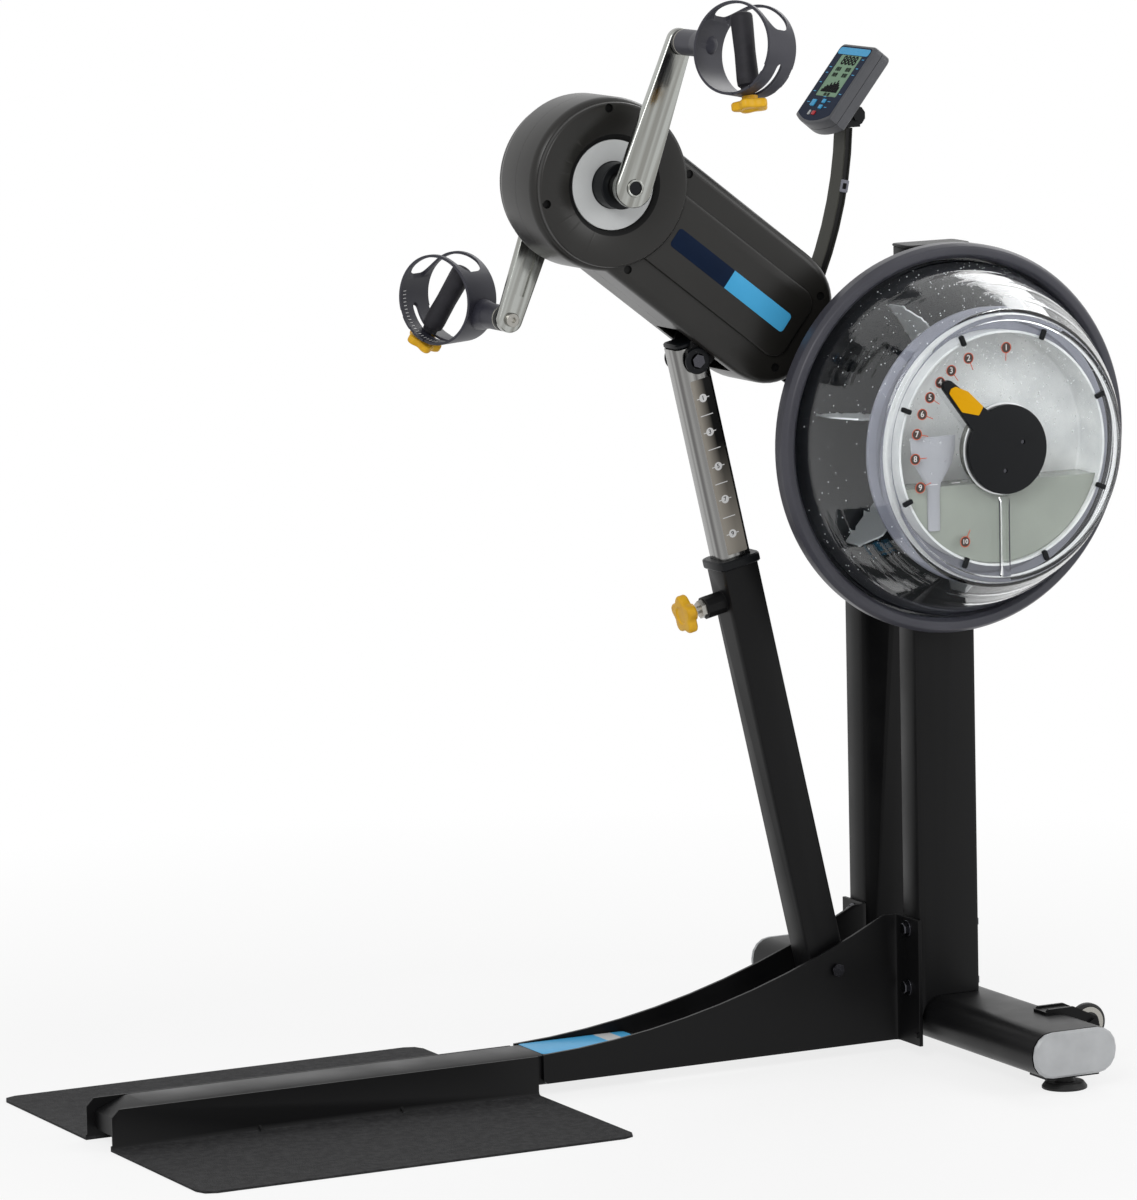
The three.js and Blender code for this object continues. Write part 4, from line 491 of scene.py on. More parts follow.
def turned(profile, count=96, closed=True):
    """Turns a line of (radius, depth) round the Y axis. An open line starts and ends on the axis."""
    angles = [2 * math.pi * k / count for k in range(count)]
    loops = [[(r * math.cos(a), -depth, r * math.sin(a)) for a in angles] for r, depth in profile]
    return skin(loops, joined=closed, lids=False)


def lathe(line, count, closed=True, steps=4):
    """Turns a line with rounded corners."""
    return turned(rounded(line, closed, steps), count, closed)


def rod(radius, near, far, count=48):
    return turned([(0, near), (radius, near), (radius, far), (0, far)], count, closed=False)


def slab(outline, low, high, edge=0.0, steps=3, edges=(True, True)):
    """Raises an outline from low to high, with its rims rounded."""
    loops = []
    for level, way, soft in ((low, 1, edges[0]), (high, -1, edges[1])):
        reach = edge if soft else 0.0
        turns = [math.pi / 2 * k / steps for k in range(steps + 1)] if reach else [0]
        rims = [(reach * (1 - math.sin(t)), level + way * reach * (1 - math.cos(t))) for t in turns]
        loops += [[(x, y, h) for x, y in outline(inset)] for inset, h in rims[::way]]
    return skin(loops)


def block(x, y, z):
    corners = ((x[0], y[0]), (x[1], y[0]), (x[1], y[1]), (x[0], y[1]))
    return skin([[(u, v, w) for u, v in corners] for w in z])


sample = rod(5, 0, 10)
print("a rod of 48 sides has", len(sample.faces), "faces")
sample.free()


# %% Joining and carving
def moved(shape, *matrices):
    for matrix in matrices:
        shape.transform(matrix)
        if matrix.determinant() < 0:
            bmesh.ops.reverse_faces(shape, faces=shape.faces)
    return shape


def held(shape):
    """Turns a shape into an object of its own for a moment."""
    mesh = bpy.data.meshes.new("held")
    shape.to_mesh(mesh)
    shape.free()
    thing = bpy.data.objects.new("held", mesh)
    bpy.context.scene.collection.objects.link(thing)
    return thing


def let_go(thing):
    mesh = thing.data
    bpy.data.objects.remove(thing)
    bpy.data.meshes.remove(mesh)


def carve(stock, *cutters, operation="DIFFERENCE"):
    """Cuts or joins closed shapes one after another."""
    work = held(stock)
    tools = [held(cutter) for cutter in cutters]
    for tool in tools:
        step = work.modifiers.new("step", "BOOLEAN")
        step.object, step.operation, step.solver = tool, operation, "MANIFOLD"
    result = bmesh.new()
    result.from_mesh(work.evaluated_get(bpy.context.evaluated_depsgraph_get()).to_mesh())
    for thing in (work, *tools):
        let_go(thing)
    return result


def weld(*shapes):
    return carve(*shapes, operation="UNION")


def gather(*shapes):
    """Puts shapes that don't touch into one piece."""
    whole = bmesh.new()
    for shape in shapes:
        mesh = bpy.data.meshes.new("held")
        shape.to_mesh(mesh)
        shape.free()
        whole.from_mesh(mesh)
        bpy.data.meshes.remove(mesh)
    return whole


halved = carve(block((0, 10), (0, 10), (0, 10)), block((-1, 11), (-1, 11), (5, 11)))
print("a 10 mm cube cut in half is", round(max(v.co.z for v in halved.verts), 3), "mm high")
halved.free()


# %% Placing a piece
def put(name, shape, where, material, body, stands_for=(), crease=35, inlays=()):
    """Places a shape as a piece. Each inlay is a material and a test on a face in the shape's own frame."""
    for i, (_, chosen) in enumerate(inlays, 1):
        for face in shape.faces:
            if chosen(face):
                face.material_index = i
    moved(shape, where, Matrix.Scale(MM, 4))
    for face in shape.faces:
        face.smooth = True
    for edge in shape.edges:
        edge.smooth = len(edge.link_faces) == 2 and edge.calc_face_angle(0) < math.radians(crease)
    mesh = bpy.data.meshes.new(name)
    shape.to_mesh(mesh)
    shape.free()
    for paint in (material, *[inlay[0] for inlay in inlays]):
        mesh.materials.append(paint)
    piece = bpy.data.objects.new(name, mesh)
    bpy.context.scene.collection.objects.link(piece)
    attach(piece, body)
    if stands_for:
        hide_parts(*stands_for)
    return piece


print("one drawn millimetre is", MM, "m")


# %% Places on the machine
def at(x, y, z):
    return Matrix.Translation((x, y, z))


def turn(axis, degrees):
    return Matrix.Rotation(math.radians(degrees), 4, axis)


UNMOVED = Matrix.Identity(4)
MIRROR = Matrix.Scale(-1, 4, (0, 1, 0))
SIDES = {"right": UNMOVED, "left": MIRROR}
SIDEWAYS = turn("X", 90)  # a raised outline's Y becomes Z, and its height becomes depth towards -Y
UPRIGHT = turn("X", -90)  # depth along the turning axis becomes height
tank_x, tank_z = 456.15, 808.4  # of the tank's shaft
spindle_x, spindle_z = 10.15, 1155.6
pivot_x, pivot_z = 138.15, 922  # of the leg's upper pivot
spindle_place = Vector((spindle_x, 0, spindle_z))
tank_frame = at(tank_x, 0, tank_z)
head_run, head_drop = tank_x - spindle_x, spindle_z - tank_z
head_lean = math.atan2(head_drop, head_run)
head_frame = at(*spindle_place) @ turn("Y", math.degrees(head_lean))
leg_frame = at(316.15, 0, 118) @ turn("Y", -leg_lean)
print("the head is", round(math.hypot(head_run, head_drop), 1), "mm from spindle to tank shaft")

# %% [markdown]
# ## Clear polycarbonate
# The tank's front is one clear polycarbonate moulding. Plain glass shading would leave its inside dark,
# because lamp light doesn't find its way through. A real wall loses little light, so the shader is glass for
# the eye and see-through for shadow rays. The water is a little grey-green, with a glossy surface.

# %% Polycarbonate and water
def clear_wall(name, tint, roughness, ior, ripple_mm=0.0):
    material, tree, shader, place = start_material(name, tint, roughness, ior=ior, Transmission_Weight=1.0)
    if ripple_mm:
        raise_bumps(tree, shader, noise(tree, place, ripple_mm), 0.4, 0.3)
    clear = add_node(tree, "ShaderNodeBsdfTransparent", {"Color": linear(tint)})
    shadow = add_node(tree, "ShaderNodeLightPath").outputs["Is Shadow Ray"]
    both = add_node(tree, "ShaderNodeMixShader", {0: shadow, 1: shader.outputs[0], 2: clear.outputs[0]})
    tree.links.new(both.outputs[0], tree.nodes["Material Output"].inputs["Surface"])
    return material


clear_polycarbonate = clear_wall("clear_polycarbonate", "#f8fafb", 0.02, 1.45, ripple_mm=70)
water_drops = clear_wall("water_drops", "#ffffff", 0.0, 1.33)
drum_abs = moulded_plastic("white_grey_drum_abs", "#eeeeec", "#d2d3d3", 0.25, 3.0, 0.05, drift_mm=45)
flange_abs = moulded_plastic("lavender_grey_flange_abs", "#83848f", "#73747f", 0.3, 2.0, 0.02)
post_abs = moulded_plastic("pale_translucent_post_abs", "#a9a9ae", "#9d9da3", 0.3, 2.0, 0.02)
mist = moulded_plastic("fine_white_droplets", "#e4e8ea", "#d6dadc", 0.2, 1.0, 0.0)
grey_green_water = moulded_plastic("grey_green_tank_water", "#979c91", "#8b9086", 0.08, 30.0, 0.02, drift_mm=80)
print("polycarbonate wall and drops, water", grey_green_water.name)

# %% [markdown]
# ## The tank
# A black back shell and a clear front shell are clamped together by a slate ring. Each could be cut from a
# cylinder, but its section shows its shape best, so each is a line turned round the tank's axis. The front
# shell narrows towards a raised rim. Its flat face carries a moulded rib, which is joined to the turned
# shell, and eight small black clips lie on the rim.

# %% Back shell and ring
back_face, flange, throat, gap = 97.4, 243.0, 228.0, 0.3
back_line = [
    (12.5, back_face), (243, back_face, 3), (247, back_face + 2, 2), (247, 106), (flange + gap, 106),
    (flange + gap, back_face + 4), (12.5, back_face + 4),
]
pad = carve(block((-40, 40), (-back_face - 1, -94.7), (-105, 105)), rod(24, 90, 100, 96))
tank_back = weld(lathe(back_line, 128), pad)
put("tank_back", tank_back, tank_frame, black_nylon, "base", ["tank_back_shell"])

ring_radius = 250.7
ring_line = [
    (243.6, 106.3), (ring_radius, 106.3, 1), (ring_radius, 122.8, 4), (245.9, 131, 4), (236.1, 131, 4),
    (231.3, 124.8, 3), (231.3, 106.6), (243.6, 106.6),
]
# The tank ring takes the lighter copy of the slate nylon: painted light.
put("tank_band", lathe(ring_line, 160), tank_frame, painted_light_ring_nylon, "base", ["tank_ring"])
print("ring", 2 * ring_radius, "mm across")

# %% Clear front shell
face_depth, nose_depth, rim_depth, wall = 250.0, 246.0, 254.0, 3.5
side_steps = 36


def shell_side(inset):
    from_depth = 124.0
    line = []
    for k in range(side_steps + 1):
        share = k / side_steps
        radius = throat + (176 - throat) * share + 5 * math.sin(math.pi * share)
        if k in (9, 18, 27) and not inset:
            radius += 0.7  # a raised flow line
        line.append((radius - inset, from_depth + (nose_depth - from_depth) * share))
    return line


shell_line = [
    (throat - wall, 101.7), (flange, 101.7), (flange, 104.9), (throat, 104.9), *shell_side(0),
    (172, 248, 2), (170, rim_depth, 2.5), (164, rim_depth, 2.5), (162.2, face_depth, 1), (12.4, face_depth),
    (12.4, face_depth - wall), (160.5, face_depth - wall), *shell_side(wall)[::-1],
]
sixteen = [math.pi * k / 8 for k in range(16)]
rib_widths = [(-60.5, 9.0), (-66, 6.4), (-75, 5.6), (-100, 5.4), (-140, 5.4), (-152, 5.8), (-163, 8.0)]
rib_middle, rib_height = -face_depth - 0.9, 4.5
rib_loops = [
    [(width * math.cos(a), rib_middle - rib_height * math.sin(a), z) for a in sixteen] for z, width in rib_widths
]
front_shell = weld(lathe(shell_line, 160), skin(rib_loops))
put("tank_window", front_shell, tank_frame, clear_polycarbonate, "base", ["tank_front_shell"])

edges = [block((x - 0.7, x + 0.7), (-250.5, -250.1), (-160, -64)) for x in (-7.2, 7.2)]
put("rib_edges", gather(*edges), tank_frame, painted_light_ring_nylon, "base")
clips = []
for k in range(8):
    clip = slab(round_box(14, 6.4, 2, x=152.5), face_depth - 0.5, face_depth + 5, 1.2)
    clips.append(moved(clip, SIDEWAYS, turn("Y", -(k + 0.5) * 45)))
put("rim_clips", gather(*clips), tank_frame, black_nylon, "base")
print(len(clips), "clips round the dial")

# %% Drum, its post and the water
def half_round(width, height):
    return [(width * math.cos(math.pi * k / 8), -height * math.sin(math.pi * k / 8)) for k in range(9)]


drum_front = face_depth - wall - gap
drum_line = [
    (18, 192), (150, 192, 6), (150, drum_front), (147, drum_front), (147, 195, 5), (24, 195, 3), (20, 215, 1),
    (18, 215),
]
put("drum", lathe(drum_line, 128), tank_frame, drum_abs, "base", ["reservoir_drum"])
flange_line = [(150.4, 209), (176, 209, 2), (176, 215, 2), (164, 215, 1), (162, 211, 1), (150.4, 211)]
put("drum_flange", lathe(flange_line, 128), tank_frame, flange_abs, "base")
post_widths = [(22, 33), (4, 32), (-14, 27), (-28, 18), (-38, 11), (-50, 9), (-98, 9)]
post = skin([[(x - 98, -240.6 + y, z) for x, y in half_round(width, 3.5)] for z, width in post_widths])
put("drum_post", post, tank_frame, post_abs, "base")


def water_body(radius, level, near, far, steps=48):
    """A disc cut off at the water line."""
    end = math.asin(level / radius)
    line = arc(radius, math.pi - end, 2 * math.pi + end, steps)
    return slab(lambda inset: line, near, far)


core = turned([(0, 190), (24.6, 190), (24.6, 229.5), (54.6, 229.5), (54.6, 250), (0, 250)], closed=False)
water_level = -43
drum_water = carve(moved(water_body(146.2, water_level, 196, 240), SIDEWAYS), core)
put("drum_water", drum_water, tank_frame, grey_green_water, "base")
print("water stands", -water_level, "mm under the axle in the drum")

# %% [markdown]
# ## Drops inside the window
# The tank has just been stirred, so drops cling to the inside of the face, and finer specks to the wall. A
# particle system could scatter them, but a seeded loop gives the same drops on every run. Each is a
# flattened ball, 1 to 4 mm across on the face and under 2 mm on the wall, and there are more near the top.

# %% Drops
random.seed(7)
drop_count, face_reach, cover_reach = 420, 145, 62


def drop(radius):
    shape = bmesh.new()
    bmesh.ops.create_icosphere(shape, subdivisions=2, radius=radius)
    return moved(shape, Matrix.Scale(0.45, 4, (0, 1, 0)))


beads = []
while len(beads) < drop_count:
    reach, angle = face_reach * math.sqrt(random.random()), random.uniform(0, 2 * math.pi)
    x, z = reach * math.cos(angle), reach * math.sin(angle)
    if z > random.uniform(-30, 120) and reach > cover_reach:
        size = random.uniform(0.5, 1.1) if random.random() < 0.8 else random.uniform(1.1, 1.9)
        beads.append(moved(drop(size), at(x, -face_depth + wall + 0.1, z)))
put("face_drops", gather(*beads), tank_frame, water_drops, "base")
specks = []
while len(specks) < drop_count:
    share, angle = random.random(), random.uniform(0.1, 1.25) * math.pi
    radius, depth = shell_side(wall + 0.3)[round(side_steps * share)]
    if random.random() < 0.35 + 0.65 * math.sin(angle) ** 2:
        speck = drop(random.uniform(0.35, 0.9))
        specks.append(moved(speck, at(radius * math.cos(angle), -depth, radius * math.sin(angle))))
put("wall_drops", gather(*specks), tank_frame, mist, "base")
print(len(beads), "drops on the face,", len(specks), "on the wall")

# %% [markdown]
# ## The paddle wheel
# Seven curved blades of stainless steel stand on a disc and a hub. An array modifier could repeat a blade,
# but the blades have to be joined to the hub. So a blade's outline, a thin sheet bent along a quadratic curve,
# is drawn once, raised to its width and turned into seven places, and all of it becomes one solid.

# %% Paddle wheel
wheel_back, wheel_front = 112.0, 184.0


def blade_outline(inset):
    tip, sweep, half = 195.5, 46.0, 1.2
    one = [(24, -half)] + bow((24, -half), (98, -half), (tip, sweep - half), 18)
    return one + [(tip, sweep + half)] + bow((tip, sweep + half), (98, half), (24, half), 18)


hub_line = [
    (10.6, wheel_back), (92, wheel_back, 1), (92, wheel_back + 4, 1), (34, wheel_back + 4, 6),
    (26, wheel_back + 12, 4), (26, wheel_front, 1.5), (10.6, wheel_front),
]
sweep_line = [(0, wheel_back), (196, wheel_back, 3), (196, 148), (176, wheel_front, 3), (0, wheel_front)]
blades = [moved(slab(blade_outline, wheel_back, wheel_front), SIDEWAYS, turn("Y", 360 * k / 7)) for k in range(7)]
sweep_limit = lathe(sweep_line, 128, closed=False)
paddles = carve(weld(lathe(hub_line, 64), *blades), sweep_limit, operation="INTERSECT")
put("paddle_wheel", paddles, tank_frame, stainless, "rotor", ["impeller"])
print(len(blades), "blades")

# %% [markdown]
# ## The level lever
# A round black cover with an arm turns on the face and picks the water level. A yellow flag lies on the
# arm, and two small screws hold the cover. Behind the cover, a bright ring lies on the clear face, and a
# steel sleeve stands inside it. The cover, the arm and the stem are one moulding, so they are drawn as three
# plain solids and welded.

# %% Lever and flag
lever_angle = 134.5
lever_back, lever_front = 254, 262
cover_line = [(0, lever_back), (57, lever_back, 0.6), (57, lever_front, 1.6), (0, lever_front)]
cover_disc = lathe(cover_line, 96, closed=False)
arm_shape = slab(strap(20, 8, 91.5), lever_back, lever_front, 1.5)
lever_arm = moved(arm_shape, SIDEWAYS, at(28.5, 0, 0), turn("Y", -lever_angle))
stem = rod(12, 225, 255)
sleeve = lathe([(48, 230), (54, 230, 1), (54, 246.2), (48, 246.2)], 96)
put("hub_sleeve", sleeve, tank_frame, zinc, "base")
hub_ring = lathe([(55.4, 250.1), (58.6, 250.1), (58.6, 252.2, 0.8), (55.4, 252.2)], 96)
put("hub_ring", hub_ring, tank_frame, stainless, "base")
holes, screws = [], []
for x, z in ((22, 8), (-4, -27)):
    holes.append(moved(rod(3, 260, 263, 24), at(x, 0, z)))
    screw = turned([(0, 259), (2.6, 259), (2.6, 260.6), (0, 260.9)], 24, closed=False)
    screws.append(moved(screw, at(x, 0, z)))
lever = carve(weld(cover_disc, lever_arm, stem), *holes)
put("lever", lever, tank_frame, black_nylon, "lever", ["level_lever"])
put("lever_screws", gather(*screws), tank_frame, black_oxide, "lever")


def flag_outline(inset):
    corners = [(63, -2, 2), (66, -14.5, 2), (96, -13.5, 5), (114, -6, 4), (117, 0.5, 3), (114.5, 6.5, 3), (84, 11, 4)]
    line = rounded(corners)
    middle = Vector((90, -2))
    return [tuple(p + (middle - p).normalized() * inset) for p in line]


flag = moved(slab(flag_outline, 262.3, 264.3, 0.7), SIDEWAYS, turn("Y", -lever_angle))
flag_nylon = moulded_plastic("deep_yellow_nylon", "#ecae02", "#e2a300", 0.45, 2.0, 0.02, level=0.12)
put("lever_flag", flag, tank_frame, flag_nylon, "lever", ["level_flag"])
print("lever at", lever_angle, "degrees")

# %% [markdown]
# ## Dial marks
# Ten plain numbers are printed on the face, each in a brown-grey disc with an orange outline and a short
# line that points to the hub. The ink could be painted in the material, but the face is clear, and thin solids
# stay sharp from every side. The number shapes come from Blender's own font, a fraction of a millimetre thick.

# %% Printed inks
dial_ink = moulded_plastic("brown_grey_printed_ink", "#564a46", "#4d423f", 0.45, 2.0, 0.0, level=0.1)
orange_ink = moulded_plastic("orange_printed_ink", "#d9613e", "#cc5836", 0.35, 2.0, 0.0)
white_ink = moulded_plastic("white_printed_ink", "#ececec", "#e2e2e2", 0.35, 2.0, 0.0)
black_ink = moulded_plastic("black_printed_ink", "#0c0d0f", "#090a0c", 0.5, 2.0, 0.0, level=0.03)


def numeral(words, height, thickness, bold=0.0):
    curve = bpy.data.curves.new("numeral", "FONT")
    curve.body, curve.size, curve.extrude, curve.offset = words, height, thickness / 2, bold
    curve.align_x = curve.align_y = "CENTER"
    curve.resolution_u = 4
    thing = bpy.data.objects.new("numeral", curve)
    bpy.context.scene.collection.objects.link(thing)
    shape = bmesh.new()
    shape.from_mesh(thing.evaluated_get(bpy.context.evaluated_depsgraph_get()).to_mesh())
    bpy.data.objects.remove(thing)
    bpy.data.curves.remove(curve)
    return shape


number_angles = [87.4, 112.5, 125.4, 135, 145.5, 156, 167.7, 181.8, 198.5, 243.3]
print_depth, dial_radius = face_depth + 0.1, 128
discs, outlines, figures = [], [], []
for number, degrees in enumerate(number_angles, 1):
    angle = math.radians(degrees)
    spot = at(dial_radius * math.cos(angle), 0, dial_radius * math.sin(angle))
    disc = rod(6.2, print_depth, print_depth + 0.2, 32)
    ring = turned([(6.2, print_depth), (7.1, print_depth), (7.1, print_depth + 0.3), (6.2, print_depth + 0.3)], 32)
    line = block((-16.5, -7.0), (-print_depth - 0.3, -print_depth), (-0.5, 0.5))
    discs.append(moved(disc, spot))
    outlines.append(moved(gather(ring, moved(line, turn("Y", -degrees))), spot))
    figure = moved(numeral(str(number), 10.5 if number < 10 else 8.5, 0.2, 0.12), SIDEWAYS)
    figures.append(moved(figure, at(0, -print_depth - 0.35, 0), spot))
put("dial_discs", gather(*discs), tank_frame, dial_ink, "base")
put("dial_outlines", gather(*outlines), tank_frame, orange_ink, "base")
put("dial_numbers", gather(*figures), tank_frame, white_ink, "base")
marks = [block((x, x + 12), (-print_depth - 0.2, -print_depth), (-38.5, -37.7)) for x in (-108, -76)]
put("water_marks", gather(*marks), tank_frame, white_ink, "base")
print("numbers 1 to", len(figures))

# %% [markdown]
# ## The head shroud
# Two moulded half shells cover the belt. Each has a raised disc round the spindle with a cone in its middle, a
# raised panel towards the tank, six screw pockets, and openings for the leg, the console arm and the tank. A
# bevel on a box would pinch at the rounded end. So the body is a stack of outlines, drawn in as they near the
# outer face, which rounds the rim evenly. The cone and the pockets are one moulding with the rest, and they are
# painted darker and less glossy as painted shade in these hollows, picked by where their faces lie.

# %% Half shells
def shroud_outline(inset, steps=60):
    radius, half, end_half = 110 - inset, 90 - inset, 20
    meeting = math.asin(half / radius)
    tail = [(285, -half)] + bow((285, -half), (360 - inset, -half), (370 - inset, -end_half), 12)
    tail += [(370 - inset, end_half)] + bow((370 - inset, end_half), (360 - inset, half), (285, half), 12)
    return arc(radius, meeting, 2 * math.pi - meeting, steps) + tail


cover_depth, cover_wall, disc_depth = 50, 3, 59
along_head = Vector((math.cos(head_lean), -math.sin(head_lean)))
lug_x = Vector((pivot_x - spindle_x, pivot_z - spindle_z)) @ along_head
body = moved(slab(shroud_outline, 0.15, cover_depth, 13, 6, edges=(False, True)), SIDEWAYS)
inner_body = slab(
    lambda inset: shroud_outline(inset + cover_wall), -1, cover_depth - cover_wall, 10, 4, edges=(False, True)
)
hollow = moved(inner_body, SIDEWAYS)
raised_disc = lathe([(0, 37), (104, 37), (104, disc_depth, 4), (0, disc_depth)], 160, closed=False)
panel = moved(slab(round_box(390, 98, 22, x=135, steps=12), 46, 54, 2.0), SIDEWAYS)
cone = turned([(0, 36), (58, 36), (58, 55), (66.5, 60.5), (0, 60.5)], 128, closed=False)
openings = [
    block((lug_x - 48, lug_x + 48), (-28.9, 2), (-220, -66)),
    block((312, 352), (-17, 2), (0, 220)),
    block((343, 371), (-47, 2), (-45.4, 45.4)),
]
screw_places = ((-64, 73), (83, 73), (332, 55))
pockets = []
for x, z in screw_places:
    face = disc_depth if x < 0 else 52.5
    for side in (1, -1):
        pockets.append(moved(rod(5.5, face - 5, face + 2, 32), at(x, 0, side * z)))
shell = carve(weld(body, raised_disc, panel), hollow, cone, *openings, *pockets)


def in_cone(face):
    middle = face.calc_center_median()
    return 54 < -middle.y < disc_depth - 0.1 and math.hypot(middle.x, middle.z) < 67 and abs(face.normal.y) < 0.9


def in_pocket(face):
    middle = face.calc_center_median()
    near = [math.hypot(middle.x - x, abs(middle.z) - z) for x, z in screw_places]
    return min(near) < 5.6 and -middle.y < (disc_depth - 0.1 if middle.x < 0 else cover_depth - 0.05)


# Painted shade: the cone's and the pockets' faces get the darker, less glossy copy of the shroud's ABS.
inlays = [(painted_shade_recess_abs, in_cone), (painted_shade_recess_abs, in_pocket)]
for side, facing in SIDES.items():
    half, stands_for = shell.copy(), [f"head_cover_{side}"]
    put(f"shroud_{side}", half, head_frame @ facing, charcoal_abs, "head", stands_for, inlays=inlays)
shell.free()
print("shroud halves", cover_depth, "mm deep")

# %% [markdown]
# ## Plates, bosses and a clip
# A pale plate with a rounded rim lies round the spindle on each side, and a black bearing cover stands out of
# it. Small black bosses carry the leg's pivot, and a grey clip sits on the side of the console's arm. They
# could be part of the shroud, but each is a moulding of its own with its own colour, so each is a piece.

# %% Spindle plates and bearing covers
plate_radius = 57
plate_line = [(30, 50.5), (plate_radius, 50.5), (plate_radius, 55, 1.2), (30, 55, 0.6)]
stub_line = [(21, 46), (29.3, 46), (29.3, 80.3, 1.5), (21, 80.3)]
for side, facing in SIDES.items():
    plate, stands_for = lathe(plate_line, 96), [f"spindle_ring_{side}"]
    put(f"spindle_plate_{side}", plate, head_frame @ facing, pale_abs, "head", stands_for)
    put(f"bearing_cover_{side}", lathe(stub_line, 64), head_frame @ facing, black_nylon, "head")
print("pale plates", 2 * plate_radius, "mm across")

# %% Round bosses at the leg's upper pivot
boss_line = [(9.4, 27.4), (17, 27.4), (17, 30.8, 1.5), (9.4, 30.8, 0.8)]
bosses = gather(*[moved(lathe(boss_line, 48), facing) for facing in SIDES.values()])
put("pivot_bosses", bosses, at(pivot_x, 0, pivot_z), black_nylon, "head")
print("a boss on each side of the leg's pivot")

# %% A cable clip on the side of the console's arm
clip = slab(round_box(11.4, 16, 1.2), 15.35, 16.8, 0.25)
clip = carve(clip, slab(round_box(6, 7.6, 0.8), 15, 17.2))
put("cable_clip", moved(clip, SIDEWAYS), at(361.9, 0, 1130) @ turn("Y", 12), flange_abs, "head")
print("clip 16 mm long")

# %% [markdown]
# ## The badge
# The right panel carries a long printed badge, half navy and half pale blue. One material could hold both
# inks, but an export keeps two pieces with plain inks most faithfully. So it is one thin slab with round
# corners, cut in two.

# %% Badge
navy_print = moulded_plastic("navy_printed_polyester", "#12213a", "#101d33", 0.45, 0.7, 0.01, level=0.06)
sky_print = moulded_plastic("sky_blue_printed_polyester", "#4db2e6", "#46a9dc", 0.40, 0.7, 0.01, level=0.2)
badge_length, badge_height, split_x = 200, 26.5, 208
badge = slab(round_box(badge_length, badge_height, 5, x=211, y=-2.25), 54.05, 54.45, 0.15)
left_part = block((100, split_x), (-30, 30), (50, 60))
right_part = block((split_x, 320), (-30, 30), (50, 60))
put("badge_navy", moved(carve(badge.copy(), right_part), SIDEWAYS), head_frame, navy_print, "head")
put("badge_sky", moved(carve(badge, left_part), SIDEWAYS), head_frame, sky_print, "head")
print("badge", badge_length, "by", badge_height, "mm")

# %% [markdown]
# ## Cranks and spindle
# Each crank is a chromed steel forging: a strap with a large eye and a small one, a boss behind the large
# eye, and a black plug over the spindle's screw. Its long edges have soft rounded chamfers that shine. Chrome
# shows every ripple of a mesh, so the strap is raised from true arcs and tangents, not shaped by subdivision.

# %% Spindle and cranks
crank_back, crank_face = 103, 115
crank_frame = at(*spindle_place) @ turn("Y", crank_angle)
spindle_line = [
    (0, -108), (12, -108), (12, -96.7), (20, -96.7, 1), (20, -81.2, 1), (12, -81.2), (12, 81.2), (20, 81.2, 1),
    (20, 96.7, 1), (12, 96.7), (12, 108), (0, 108),
]
spindle = lathe(spindle_line, 64, closed=False)
put("spindle", spindle, crank_frame, crank_chrome, "cranks", ["crank_spindle"])
plug_line = [(0, 112.8), (8.4, 112.8), (8.4, 115.6, 0.6), (0, 115.2)]
plug_ring_line = [(8.6, 112.8), (11.3, 112.8), (11.3, 117.4, 1), (8.6, 117.0, 0.8)]
for side, facing in (("right", UNMOVED), ("left", turn("Y", 180) @ turn("Z", 180))):
    crank_side = crank_frame @ facing
    bar = moved(slab(strap(25, 17, crank_reach, 32), crank_back, crank_face, 2.6, 4), SIDEWAYS)
    boss = lathe([(0, 97), (23.4, 97, 2), (23.4, 105), (0, 105)], 64, closed=False)
    groove = block((38, 160), (-crank_back - 2.5, -crank_back + 1), (-7, 7))
    bores = [rod(12.3, 90, 108.4), rod(11.6, 112.6, 120), moved(rod(6.4, 90, 120, 32), at(crank_reach, 0, 0))]
    crank = moved(carve(weld(bar, boss), groove, *bores), turn("Y", -90))
    put(f"crank_arm_{side}", crank, crank_side, crank_chrome, "cranks", [f"crank_{side}"])
    put(f"crank_ring_{side}", lathe(plug_ring_line, 64), crank_side, crank_chrome, "cranks")
    put(f"crank_plug_{side}", lathe(plug_line, 48, closed=False), crank_side, black_nylon, "cranks")
print("cranks", crank_reach, "mm between centres")

# %% [markdown]
# ## Handles
# A guard ring of slate nylon turns on each crank pin. It is one moulding: a hoop with a large window at the
# top and a curved slot under it, a sleeve over the pin that flares into the hoop, and a domed cap inside.
# Cutting the openings from a ready hoop leaves the same even wall that the mould does, so solids are welded
# and carved here. A foam grip stands across the hoop, and a yellow star knob under the slot locks it. The
# left hoop also has white tick marks for the grip's angle.

# %% Guard rings
hoop_inside, hoop_outside, hoop_half = 55.1, 58.5, 28


def hoop_frame(lift):
    """The hoop's middle and lean, from the crank pin."""
    return at(24, -123, lift) @ turn("Z", -65)


